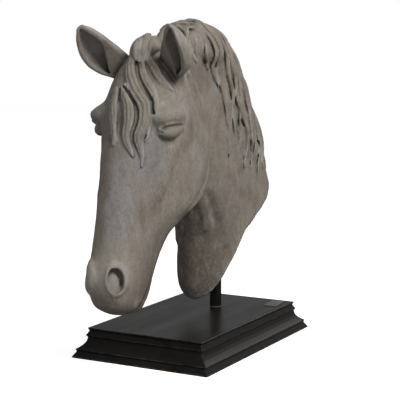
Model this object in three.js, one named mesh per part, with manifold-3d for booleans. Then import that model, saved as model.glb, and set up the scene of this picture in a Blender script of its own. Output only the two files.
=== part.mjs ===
import * as THREE from 'three';
import Module from 'manifold-3d';

// Horse head sculpture on a moulded plinth. Sizes are in millimetres and +Z is up.
// The origin is the centre of the plinth's underside and the horse faces -Y.
// Side-view lines are [y, z] and single places are [x, y, z], with x to the horse's
// left. A place on the head or neck is [t, angle]: t runs down the line of the body,
// and the angle in degrees goes round to the horse's left from the face or the crest.

// Plinth, plate and rod
const PLINTH_WIDTH = 250;
const PLINTH_LENGTH = 408;
const PLINTH_HEIGHT = 56.5;
const PLINTH_FLARE = 22.3;
const FIT_GAP = 0.3;
const ROD_RADIUS = 12;
const ROD_Y = 85;
const ROD_FOOT = 30;
const ROD_TOP = 262;
const ROD_SIDES = 40;
const PLATE_LENGTH = 56;
const PLATE_WIDTH = 26;
const PLATE_THICKNESS = 1.2;
const PLATE_X = 96;
const PLATE_Y = 166;
const PLATE_TURN = 5;

// How far the moulding stands out of the top edge, as shares of the flare, at
// depths below the top that are shares of the plinth's height.
const MOULDING = [
  [0, 0], [0, 0.03], [-0.12, 0.1], [0.14, 0.27], [0, 0.31], [0.02, 0.38], [0.1, 0.48],
  [0.31, 0.58], [0.56, 0.66], [0.79, 0.72], [0.69, 0.79], [1, 0.96], [1, 1],
];

// Fineness of the sculpture's surface, and the space that it is looked for in
const GRID = 4;
const SCULPTURE_TRIANGLES = 9000;
const CORNER_CLEARANCE = 0.04;
const SPACE_LOW = [-140, -390, 40];
const SPACE_HIGH = [140, 300, 690];
const INNER_PLACE = [0, -230, 400];

// Merging of edges: how strongly a corner keeps its place, what long edges cost, and
// how far a triangle may turn, as a cosine
const PLACE_PULL = 0.002;
const LENGTH_COST = 0.02;
const TURN_LIMIT = 0.3;

// The head's own frame in the (y, z) plane
const HEAD_START = [-140, 600];
const HEAD_LEAN = 17.8;

// Side view of the head: the line of the face and the line of the jaw, as [y, z].
const FACE_LINE = [
  [-160, 597], [-204, 578], [-238, 543], [-266, 500], [-285, 450], [-299, 400], [-312, 350],
  [-326, 290], [-338, 240], [-347, 205], [-350, 175], [-342, 145], [-325, 121], [-306, 109],
];
const JAW_LINE = [
  [-110, 580], [-82, 520], [-64, 460], [-62, 400], [-74, 348], [-98, 303], [-134, 275],
  [-157, 246], [-182, 208], [-204, 173], [-221, 147], [-234, 128], [-252, 114], [-276, 107],
];

// Half widths of the head at shares of its depth, from the face to the jaw.
const HEAD_DEPTHS = [0.08, 0.2, 0.35, 0.5, 0.65, 0.8, 0.93];
const HEAD_WIDTHS = [
  [14, 16, 26, 32, 36, 36, 30, 18],
  [40, 24, 36, 45, 51, 53, 48, 32],
  [82, 40, 55, 64, 69, 71, 68, 52],
  [134, 45, 64, 75, 79, 81, 79, 66],
  [186, 42, 62, 73, 79, 84, 86, 76],
  [238, 38, 54, 66, 75, 82, 86, 78],
  [290, 34, 48, 57, 64, 72, 76, 66],
  [350, 30, 42, 50, 52, 51, 47, 36],
  [405, 29, 41, 48, 48, 45, 39, 27],
  [442, 28, 40, 47, 47, 44, 39, 28],
  [472, 26, 36, 42, 43, 42, 38, 28],
  [500, 23, 32, 37, 38, 37, 32, 21],
  [512, 17, 25, 29, 29, 27, 22, 12],
];

// The neck's own frame, its crest and throat lines, and its half widths
const NECK_START = [-80, 590];
const NECK_LEAN = -27.3;
const CREST_LINE = [
  [-152, 600], [-110, 617], [-60, 627], [0, 624], [65, 598], [125, 531], [172, 450],
  [214, 378], [247, 318], [261, 270], [268, 225],
];
const THROAT_LINE = [
  [-170, 591], [-160, 556], [-120, 500], [-92, 440], [-66, 380], [-46, 330], [-29, 275], [-21, 220],
  [-23, 165], [-22, 115], [-5, 60],
];
const NECK_DEPTHS = [0.06, 0.18, 0.35, 0.5, 0.65, 0.82, 0.94];
const NECK_WIDTHS = [
  [-42, 4, 8, 10, 11, 10, 8, 4],
  [-34, 12, 18, 23, 25, 23, 18, 10],
  [-18, 18, 27, 35, 38, 36, 28, 14],
  [0, 20, 32, 42, 47, 46, 38, 20],
  [65, 25, 37, 47, 52, 50, 42, 24],
  [150, 28, 42, 53, 56, 53, 44, 26],
  [240, 33, 48, 59, 61, 57, 48, 30],
  [320, 43, 60, 68, 70, 65, 54, 34],
  [390, 48, 63, 70, 71, 66, 55, 36],
  [450, 50, 65, 72, 73, 68, 57, 37],
  [520, 50, 65, 72, 73, 68, 57, 37],
];

// Underside of the neck: a hollowed slope from the low front tip up to the crest
const CUT_LINE = [
  [-80, 62], [-15, 76], [19, 122], [90, 207], [150, 243], [200, 265], [240, 290], [290, 338],
];
const CUT_SLOPE = 35;
const CUT_ROUNDING = 22;
const HEAD_END_ROUNDING = 22;
const NECK_END_ROUNDING = 8;

// Ears: the middle of the base, the tip, the way the hollow faces and its widths
const EAR_BASE = [50, -186, 548];
const EAR_TIP = [98, -258, 628];
const EAR_FACING = -8;
const EAR_BOW = 11;
const EAR_WIDTHS = [[0, 26], [0.2, 31], [0.42, 32.5], [0.65, 28], [0.85, 19], [1, 7]];
const EAR_WALL = 8;
const EAR_DEPTH = 0.9;
const EAR_FRONT = 0.2;
const EAR_ROOT = 0.25;
const EAR_CURL = 6;
const EAR_RIM_ROUNDING = 3;

// Mane: how thick it lies on the neck and how far round each side it reaches
const MANE_DEPTH = 14;
const MANE_LEFT_EDGE = [
  [-60, 120], [0, 124], [30, 118], [60, 92], [100, 84], [150, 90], [200, 96], [240, 104], [280, 88],
  [310, 56], [345, 30], [370, 0], [400, -60], [440, -90],
];
const MANE_RIGHT_EDGE = -58;
const MANE_START = -46;
const MANE_END = 385;
const MANE_SIDE_TAPER = 50;
const MANE_START_TAPER = 28;
const MANE_END_TAPER = 110;

// Brows, eyes, eyelids and mouth. The last number of a tube's point is its radius.
const BROW_MIDDLE = [65, -222, 466];
const BROW_RADII = [25, 36, 19];
const EYEBALL = [
  [62, -247, 441, 5], [70, -235, 440, 11], [73, -222, 441, 13], [74, -207, 443, 10],
  [78, -194, 446, 4],
];
const UPPER_LID = [
  [64, -251, 446, 2], [72, -247, 453, 2.5], [80, -242, 456, 3], [85, -230, 457, 3],
  [86, -214, 457, 3], [84, -199, 455, 2],
];
const MOUTH = [
  [42, -240, 178, 1.5], [42, -251, 160, 2.6], [42, -262, 145, 2.8], [40, -277, 131, 2.8],
  [33, -294, 121, 2.8], [18, -305, 113, 2.8], [0, -309, 109, 2.8],
];

// Nostrils: each a hole with a fold inside it, on a soft mound that faces outward
const NOSTRIL_MIDDLE = [27, -337, 187];
const NOSTRIL_FACING = [0.72, -0.69, 0.06];
const NOSTRIL_LEAN = [-0.12, 0, 1];
const NOSTRIL_MOUND = [20, 29, 11];
const NOSTRIL_HOLE = [11, 18];
const NOSTRIL_DEPTH = 13;
const NOSTRIL_FOLD = [-3, -5, -9];
const NOSTRIL_FOLD_RADII = [6, 11, 7];

// The tuft on the poll, in front of the mane: two rolls of hair side by side
const TUFT_ROLLS = [
  [[4, -170, 592, 15], [-2, -190, 593, 17], [-6, -205, 584, 15], [-8, -215, 566, 11]],
  [[15, -174, 588, 11], [13, -192, 589, 13], [12, -206, 578, 11], [11, -214, 564, 9]],
];

// How widely the forms flow into each other
const BROW_BLEND = 22;
const EYE_BLEND = 3;
const LID_BLEND = 4;
const MOUND_BLEND = 10;
const HOLE_BLEND = 4;
const MOUTH_BLEND = 2;
const CHEEK_BLEND = 6;
const TUFT_BLEND = 4;
const EAR_BLEND = 6;

const RAD = Math.PI / 180;
const clamp = (v, low, high) => Math.min(high, Math.max(low, v));
const mix = (a, b, s) => a + (b - a) * s;

// The smaller of two distances, rounded where they meet over a width k.
function blendMin(a, b, k) {
  if (Math.abs(a - b) >= k) return Math.min(a, b);
  const h = 0.5 + 0.5 * (b - a) / k;
  return mix(b, a, h) - k * h * (1 - h);
}

const blendMax = (a, b, k) => -blendMin(-a, -b, k);

// A smooth curve through [x, y] pairs.
function curve(pairs) {
  const n = pairs.length;
  const slopes = [];
  for (let i = 0; i < n - 1; i += 1) {
    slopes.push((pairs[i + 1][1] - pairs[i][1]) / (pairs[i + 1][0] - pairs[i][0]));
  }
  const m = pairs.map((_, i) => {
    if (i === 0) return slopes[0];
    if (i === n - 1) return slopes[n - 2];
    const before = pairs[i][0] - pairs[i - 1][0];
    const after = pairs[i + 1][0] - pairs[i][0];
    return (slopes[i - 1] * after + slopes[i] * before) / (before + after);
  });
  return (x) => {
    let i = 0;
    while (i < n - 2 && x > pairs[i + 1][0]) i += 1;
    const [x0, y0] = pairs[i];
    const [x1, y1] = pairs[i + 1];
    const d = x1 - x0;
    const u = clamp((x - x0) / d, 0, 1);
    const v = 1 - u;
    return (1 + 2 * u) * v * v * y0 + u * v * v * d * m[i]
      + u * u * (3 - 2 * u) * y1 - u * u * v * d * m[i + 1];
  };
}

// A frame in the (y, z) plane: t runs down the body and h out towards its front.
function frame([y0, z0], lean, side) {
  const a = [-Math.sin(lean * RAD), -Math.cos(lean * RAD)];
  const u = side > 0 ? [a[1], -a[0]] : [-a[1], a[0]];
  return {
    local: (y, z) => [(y - y0) * a[0] + (z - z0) * a[1], (y - y0) * u[0] + (z - z0) * u[1]],
    world: (x, t, h) => [x, y0 + t * a[0] + h * u[0], z0 + t * a[1] + h * u[1]],
  };
}

// A solid of smooth sections down one line. It gives the distance to its surface
// and the surface point at a place t down the line and an angle round from the top.
function loft(body, topLine, bottomLine, depths, widths, cap) {
  const STEP = 2;
  const RING = 72;
  const toPairs = (line) => line.map(([y, z]) => body.local(y, z));
  const top = curve(toPairs(topLine));
  const bottom = curve(toPairs(bottomLine));
  const columns = depths.map((_, c) => curve(widths.map((row) => [row[0], row[c + 1]])));
  const start = widths[0][0];
  const end = widths[widths.length - 1][0];
  const count = Math.floor((end - start) / STEP) + 2;
  const middle = [];
  const rings = [];
  for (let i = 0; i < count; i += 1) {
    const t = start + i * STEP;
    const [high, low] = [top(t), bottom(t)];
    const mid = (high + low) / 2;
    const polar = [[0, high - mid]];
    depths.forEach((share, c) => {
      const x = columns[c](t);
      const h = mix(high, low, share) - mid;
      polar.push([Math.atan2(x, h), Math.hypot(x, h)]);
    });
    polar.push([Math.PI, mid - low]);
    const last = polar.length - 1;
    const [firstAngle, firstRadius] = polar[1];
    const [lastAngle, lastRadius] = polar[last - 1];
    const radius = curve([[-firstAngle, firstRadius], ...polar, [2 * Math.PI - lastAngle, lastRadius]]);
    middle.push(mid);
    rings.push(Float64Array.from({ length: RING + 1 }, (_, j) => radius(j * Math.PI / RING)));
  }
  const sample = (t, angle) => {
    const f = clamp((t - start) / STEP, 0, count - 1.001);
    const i = Math.floor(f);
    const g = clamp(angle / Math.PI * RING, 0, RING - 0.001);
    const j = Math.floor(g);
    const near = mix(rings[i][j], rings[i][j + 1], g - j);
    const far = mix(rings[i + 1][j], rings[i + 1][j + 1], g - j);
    const r = mix(near, far, f - i);
    const round = (rings[i][j + 1] - rings[i][j]) / (Math.PI / RING) / r;
    const along = (rings[i + 1][j] - rings[i][j] + (middle[i + 1] - middle[i]) * Math.cos(angle)) / STEP;
    return [r, mix(middle[i], middle[i + 1], f - i), Math.sqrt(1 + round * round + along * along)];
  };
  const core = (t) => sample(t, 0)[1];
  const distance = (x, y, z) => {
    const [t, h] = body.local(y, z);
    const within = clamp(t, start, end);
    const height = h - core(within);
    const [r, , slope] = sample(within, Math.atan2(Math.abs(x), height));
    const side = (Math.hypot(x, height) - r) / slope;
    return blendMax(side, Math.max(start - t, t - end), cap);
  };
  const surface = (t, angle, lift) => {
    const [r, mid] = sample(t, Math.abs(angle));
    return body.world((r + lift) * Math.sin(angle), t, mid + (r + lift) * Math.cos(angle));
  };
  return { distance, surface, middle: core, body };
}

const headFrame = frame(HEAD_START, HEAD_LEAN, 1);
const neckFrame = frame(NECK_START, NECK_LEAN, -1);
const head = loft(headFrame, FACE_LINE, JAW_LINE, HEAD_DEPTHS, HEAD_WIDTHS, HEAD_END_ROUNDING);
const neck = loft(neckFrame, CREST_LINE, THROAT_LINE, NECK_DEPTHS, NECK_WIDTHS, NECK_END_ROUNDING);

function ellipsoid([cx, cy, cz], [rx, ry, rz]) {
  return (x, y, z) => {
    const [a, b, c] = [x - cx, y - cy, z - cz];
    const k0 = Math.hypot(a / rx, b / ry, c / rz);
    const k1 = Math.hypot(a / (rx * rx), b / (ry * ry), c / (rz * rz));
    return k1 < 1e-9 ? -Math.min(rx, ry, rz) : k0 * (k0 - 1) / k1;
  };
}

const add = (p, q, s = 1) => [p[0] + q[0] * s, p[1] + q[1] * s, p[2] + q[2] * s];
const dot = (p, q) => p[0] * q[0] + p[1] * q[1] + p[2] * q[2];
const cross = (p, q) => [
  p[1] * q[2] - p[2] * q[1], p[2] * q[0] - p[0] * q[2], p[0] * q[1] - p[1] * q[0],
];
const unit = (p) => add([0, 0, 0], p, 1 / Math.hypot(...p));

// A round tube through points [x, y, z, radius].
function tube(points) {
  return (x, y, z) => {
    let best = Infinity;
    for (let i = 0; i < points.length - 1; i += 1) {
      const [ax, ay, az, ar] = points[i];
      const [bx, by, bz, br] = points[i + 1];
      const run = [bx - ax, by - ay, bz - az];
      const from = [x - ax, y - ay, z - az];
      const s = clamp(dot(from, run) / dot(run, run), 0, 1);
      best = Math.min(best, Math.hypot(...add(from, run, -s)) - mix(ar, br, s));
    }
    return best;
  };
}

// An ear: a leaf-shaped cup, hollow on the side that it faces.
function makeEar() {
  const reach = add(EAR_TIP, EAR_BASE, -1);
  const length = Math.hypot(...reach);
  const along = unit(reach);
  const aim = [Math.sin(EAR_FACING * RAD), -Math.cos(EAR_FACING * RAD), 0];
  const out = unit(add(aim, along, -dot(aim, along)));
  const across = cross(along, out);
  const width = curve(EAR_WIDTHS);
  return (x, y, z) => {
    const q = [x - EAR_BASE[0], y - EAR_BASE[1], z - EAR_BASE[2]];
    const s = dot(q, along) / length;
    const beyond = Math.max(-s - EAR_ROOT, s - 1) * length;
    const inner = clamp(s, 0, 1);
    const w = width(inner);
    const b = dot(q, across) - EAR_BOW * Math.sin(Math.PI * inner);
    const f = dot(q, out) - EAR_CURL * s * s;
    const outer = (Math.hypot(b / w, f / (EAR_DEPTH * w)) - 1) * w * EAR_DEPTH;
    const shell = Math.max(Math.abs(outer + EAR_WALL / 2) - EAR_WALL / 2, beyond);
    return blendMax(shell, f - EAR_FRONT * w, EAR_RIM_ROUNDING);
  };
}

// A nostril gives the distances to its mound and to its hole.
function makeNostril() {
  const out = unit(NOSTRIL_FACING);
  const up = unit(add(NOSTRIL_LEAN, out, -dot(NOSTRIL_LEAN, out)));
  const across = cross(up, out);
  const mound = ellipsoid([0, 0, 0], NOSTRIL_MOUND);
  const fold = ellipsoid(NOSTRIL_FOLD, NOSTRIL_FOLD_RADII);
  const [wide, high] = NOSTRIL_HOLE;
  return (x, y, z) => {
    const q = [x - NOSTRIL_MIDDLE[0], y - NOSTRIL_MIDDLE[1], z - NOSTRIL_MIDDLE[2]];
    const [a, b, c] = [dot(q, across), dot(q, up), dot(q, out)];
    const radial = (Math.hypot(a / wide, b / high) - 1) * wide;
    const hole = Math.max(radial, Math.abs(c) - NOSTRIL_DEPTH);
    return [mound(a, b, c), blendMax(hole, -fold(a, b, c), HOLE_BLEND)];
  };
}

const ear = makeEar();
const nostril = makeNostril();
const brow = ellipsoid(BROW_MIDDLE, BROW_RADII);
const eyeball = tube(EYEBALL);
const upperLid = tube(UPPER_LID);
const mouth = tube(MOUTH);
const tuft = TUFT_ROLLS.map(tube);
const cutLine = curve(CUT_LINE);
const maneEdge = curve(MANE_LEFT_EDGE);

const ease = (v) => clamp(v, 0, 1) ** 2 * (3 - 2 * clamp(v, 0, 1));

// Thickness of the hair under the locks, which lies over the horse's left side
function maneDepth(t, angle) {
  const left = ease((maneEdge(t) - angle) / MANE_SIDE_TAPER);
  const right = ease((angle - MANE_RIGHT_EDGE) / MANE_SIDE_TAPER);
  const above = ease((t - MANE_START) / MANE_START_TAPER);
  const below = ease((MANE_END - t) / MANE_END_TAPER);
  return MANE_DEPTH * left * right * above * below;
}

// Locks of hair: [half width, then pairs of t and angle in degrees from root to tip].
const FORELOCK = [
  [14, [48, -6], [66, -15], [84, -15], [106, -2], [132, 11], [152, 19], [175, 22], [198, 22], [220, 21],
    [240, 24], [254, 26]],
  [12.5, [84, 0], [104, -3], [128, -1], [152, 5], [173, 8], [198, 10], [220, 9], [236, 13]],
  [10, [80, -10], [103, -13], [121, -16], [142, -15], [170, -11], [193, -8], [215, -3], [226, -2]],
  [11, [50, 2], [60, 5], [79, 17], [101, 26], [123, 30], [140, 33], [160, 41]],
  [8, [52, 12], [61, 17], [70, 24], [84, 31], [93, 38], [103, 47]],
];
const MANE = [
  [9, [-36, 8], [-32, 50], [-25, 92], [-4, 112], [22, 122]],
  [10, [-34, 0], [-26, 36], [-4, 70], [20, 96], [52, 108]],
  [10, [-32, -4], [-20, 26], [6, 54], [36, 80], [70, 96], [100, 98]],
  [11, [-30, -10], [-14, 18], [14, 44], [44, 66], [84, 84], [130, 90], [182, 104]],
  [10, [-24, -4], [0, 24], [34, 50], [60, 76], [105, 76], [142, 80], [186, 98], [212, 112],
    [242, 122]],
  [11, [-18, 0], [10, 18], [44, 36], [80, 56], [124, 62], [168, 80], [216, 90]],
  [12, [-12, -8], [14, 8], [46, 22], [76, 42], [112, 48], [150, 62], [208, 62], [254, 76],
    [286, 92]],
  [11, [-4, 0], [30, 12], [66, 26], [100, 34], [140, 48], [190, 70], [240, 92]],
  [12, [4, -8], [40, 4], [84, 14], [130, 28], [180, 36], [230, 56], [284, 68]],
  [11, [16, 0], [56, 6], [100, 12], [150, 26], [200, 44], [250, 50], [300, 74]],
  [12, [24, -10], [66, 0], [112, 12], [160, 18], [210, 32], [262, 34], [314, 50]],
  [11, [44, -4], [90, 4], [140, 8], [190, 20], [240, 40], [290, 44], [332, 58]],
  [12, [58, -10], [104, -4], [150, 4], [200, 8], [252, 20], [300, 26], [342, 38]],
  [11, [84, -8], [130, -4], [180, 2], [230, 12], [280, 14], [330, 22], [354, 30]],
  [11, [112, -12], [160, -8], [210, -4], [260, 2], [310, 6], [358, 14]],
  [10, [-32, -14], [-18, -40], [14, -60], [56, -70], [104, -68]],
  [11, [-14, -14], [16, -32], [60, -46], [110, -52], [164, -60]],
  [11, [20, -14], [60, -24], [110, -34], [170, -38], [230, -46]],
  [11, [64, -14], [110, -20], [170, -24], [230, -26], [292, -34]],
  [11, [120, -14], [170, -16], [230, -16], [290, -14], [346, -18]],
];
const LOCK_SEGMENTS = 14;
const LOCK_FLATNESS = 0.62;
const LOCK_LIFT = 2.5;
const LOCK_BLEND = 3;
const LOCK_ROOT = 0.2;
const LOCK_TIP_WIDTH = 0.18;
const LOCK_FULLNESS = 0.8;

// Width of a lock at a share of its length, as a share of its widest
function lockWidth(u) {
  const swell = Math.sin(Math.PI * mix(LOCK_ROOT, 1, u)) ** LOCK_FULLNESS;
  return mix(LOCK_TIP_WIDTH, 1, swell);
}

// One lock laid along a body: flat, thickest near its root and pointed at its tip.
// The hair that it lies on has a thickness depth(t, angle).
function makeLock(body, [halfWidth, ...path], depth) {
  const share = path.map((_, i) => i / (path.length - 1));
  const along = curve(path.map(([t], i) => [share[i], t]));
  const round = curve(path.map(([, angle], i) => [share[i], angle]));
  const nodes = [];
  for (let i = 0; i <= LOCK_SEGMENTS; i += 1) {
    const u = i / LOCK_SEGMENTS;
    const [t, angle] = [along(u), round(u)];
    const wide = halfWidth * lockWidth(u);
    const lift = LOCK_LIFT + depth(t, angle);
    const place = body.surface(t, angle * RAD, lift);
    const above = body.surface(t, angle * RAD, lift + 1);
    nodes.push({ place, out: unit(add(above, place, -1)), wide, high: wide * LOCK_FLATNESS });
  }
  const links = [];
  for (let i = 0; i < LOCK_SEGMENTS; i += 1) {
    const [a, b] = [nodes[i], nodes[i + 1]];
    const run = add(b.place, a.place, -1);
    const length = Math.hypot(...run);
    const forward = unit(run);
    const mean = add(a.out, b.out);
    const up = unit(add(mean, forward, -dot(mean, forward)));
    links.push({ a, b, run, length, forward, up, across: cross(forward, up) });
  }
  const low = [0, 1, 2].map((k) => Math.min(...nodes.map((node) => node.place[k])) - halfWidth);
  const high = [0, 1, 2].map((k) => Math.max(...nodes.map((node) => node.place[k])) + halfWidth);
  return (x, y, z, d) => {
    const below = Math.max(low[0] - x, low[1] - y, low[2] - z);
    const beyond = Math.max(x - high[0], y - high[1], z - high[2]);
    if (Math.max(below, beyond) > d + LOCK_BLEND) return d;
    let best = Infinity;
    for (const { a, b, run, length, forward, up, across } of links) {
      const [qx, qy, qz] = [x - a.place[0], y - a.place[1], z - a.place[2]];
      const s = clamp((qx * run[0] + qy * run[1] + qz * run[2]) / (length * length), 0, 1);
      const q = [qx - s * run[0], qy - s * run[1], qz - s * run[2]];
      const wide = mix(a.wide, b.wide, s);
      const tall = mix(a.high, b.high, s);
      const [f, n, w] = [dot(q, forward), dot(q, up), dot(q, across)];
      const k0 = Math.hypot(w / wide, n / tall, f / tall);
      const k1 = Math.hypot(w / (wide * wide), n / (tall * tall), f / (tall * tall));
      best = Math.min(best, k1 < 1e-9 ? -tall : k0 * (k0 - 1) / k1);
    }
    return blendMin(d, best, LOCK_BLEND);
  };
}

const forelock = FORELOCK.map((row) => makeLock(head, row, () => 0));
const mane = MANE.map((row) => makeLock(neck, row, maneDepth));

// Distance to the neck with its mane, ending at the cut underside
function neckField(x, y, z) {
  const [t, h] = neckFrame.local(y, z);
  const angle = Math.atan2(x, h - neck.middle(t)) / RAD;
  const cut = (cutLine(y) - z) * Math.cos(CUT_SLOPE * RAD);
  return blendMax(neck.distance(x, y, z) - maneDepth(t, angle), cut, CUT_ROUNDING);
}

// Distance to the surface of the whole sculpture, negative inside
function sculptureField(x, y, z) {
  const side = Math.abs(x);
  const [mound, hole] = nostril(side, y, z);
  let d = head.distance(side, y, z);
  d = blendMin(d, brow(side, y, z), BROW_BLEND);
  d = blendMin(d, eyeball(side, y, z), EYE_BLEND);
  d = blendMin(d, upperLid(side, y, z), LID_BLEND);
  d = blendMin(d, mound, MOUND_BLEND);
  d = blendMax(d, -hole, HOLE_BLEND);
  d = blendMax(d, -mouth(side, y, z), MOUTH_BLEND);
  d = blendMin(d, neckField(x, y, z), CHEEK_BLEND);
  tuft.forEach((roll) => { d = blendMin(d, roll(x, y, z), TUFT_BLEND); });
  [...mane, ...forelock].forEach((lock) => { d = lock(x, y, z, d); });
  return blendMin(d, ear(side, y, z), EAR_BLEND);
}

// Corners of a cube are numbered by bits x, y, z. Six tetrahedra share its long diagonal.
const TETRAHEDRA = [
  [0, 1, 3, 7], [0, 3, 2, 7], [0, 2, 6, 7], [0, 6, 4, 7], [0, 4, 5, 7], [0, 5, 1, 7],
];

// For each set of inside corners of a tetrahedron, an order of its corners with the odd
// one first, or the inside pair first, that faces outward
const ORDERS = [
  null, [0, 1, 2, 3], [1, 0, 3, 2], [0, 1, 2, 3], [2, 3, 0, 1], [0, 2, 3, 1], [1, 2, 0, 3],
  [3, 2, 1, 0], [3, 2, 1, 0], [0, 3, 1, 2], [1, 3, 2, 0], [2, 3, 0, 1], [2, 3, 0, 1],
  [1, 0, 3, 2], [0, 1, 2, 3], null,
];

// Follows the surface from cell to cell, starting at a point inside the body, and
// makes one closed mesh of it.
function polygonise(field, low, high, inner) {
  const size = low.map((v, k) => Math.ceil((high[k] - v) / GRID) + 1);
  const index = (i, j, k) => (i * size[1] + j) * size[2] + k;
  const values = new Float32Array(size[0] * size[1] * size[2]).fill(NaN);
  const value = (i, j, k) => {
    const n = index(i, j, k);
    if (Number.isNaN(values[n])) {
      values[n] = field(low[0] + i * GRID, low[1] + j * GRID, low[2] + k * GRID);
    }
    return values[n];
  };
  const start = inner.map((v, k) => Math.round((v - low[k]) / GRID));
  while (value(...start) < 0) start[0] += 1;
  start[0] -= 1;
  const seen = new Uint8Array(values.length);
  const queue = [start];
  const cells = [];
  while (queue.length) {
    const [i, j, k] = queue.pop();
    const n = index(i, j, k);
    if (seen[n]) continue;
    seen[n] = 1;
    let count = 0;
    for (let c = 0; c < 8; c += 1) {
      if (value(i + (c & 1), j + (c >> 1 & 1), k + (c >> 2)) < 0) count += 1;
    }
    if (count === 0 || count === 8) continue;
    cells.push([i, j, k]);
    queue.push([i - 1, j, k], [i + 1, j, k], [i, j - 1, k], [i, j + 1, k]);
    queue.push([i, j, k - 1], [i, j, k + 1]);
  }

  const positions = [];
  const triangles = [];
  const made = new Map();
  for (const [i, j, k] of cells) {
    const corner = (c) => index(i + (c & 1), j + (c >> 1 & 1), k + (c >> 2));
    const inside = (c) => values[corner(c)] < 0;
    const point = (p, q) => {
      const [a, b] = p < q ? [p, q] : [q, p];
      const key = corner(a) * 8 + (a ^ b);
      if (!made.has(key)) {
        const from = values[corner(a)];
        const s = clamp(from / (from - values[corner(b)]), CORNER_CLEARANCE, 1 - CORNER_CLEARANCE);
        made.set(key, positions.length / 3);
        [i, j, k].forEach((base, axis) => {
          const place = mix(a >> axis & 1, b >> axis & 1, s);
          positions.push(low[axis] + (base + place) * GRID);
        });
      }
      return made.get(key);
    };
    for (const tetra of TETRAHEDRA) {
      const code = tetra.reduce((sum, c, n) => sum + (inside(c) ? 1 << n : 0), 0);
      if (!ORDERS[code]) continue;
      const [a, b, c, d] = ORDERS[code].map((n) => tetra[n]);
      const count = tetra.filter(inside).length;
      if (count === 1) triangles.push(point(a, b), point(a, c), point(a, d));
      if (count === 3) triangles.push(point(a, b), point(a, d), point(a, c));
      if (count === 2) {
        const quad = [point(a, c), point(a, d), point(b, d), point(b, c)];
        triangles.push(quad[0], quad[1], quad[2], quad[0], quad[2], quad[3]);
      }
    }
  }
  return { positions: Float64Array.from(positions), triangles: Int32Array.from(triangles) };
}

// A heap of [cost, a, b, stamp] entries with the cheapest one on top.
class Heap {
  constructor() {
    this.items = [];
  }

  push(item) {
    const { items } = this;
    let n = items.length;
    items.push(item);
    while (n > 0) {
      const parent = n - 1 >> 1;
      if (items[parent][0] <= item[0]) break;
      items[n] = items[parent];
      n = parent;
    }
    items[n] = item;
  }

  pop() {
    const { items } = this;
    const first = items[0];
    const item = items.pop();
    let n = 0;
    while (items.length) {
      let child = 2 * n + 1;
      if (child >= items.length) break;
      if (child + 1 < items.length && items[child + 1][0] < items[child][0]) child += 1;
      if (items[child][0] >= item[0]) break;
      items[n] = items[child];
      n = child;
    }
    if (items.length) items[n] = item;
    return first;
  }
}

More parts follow.
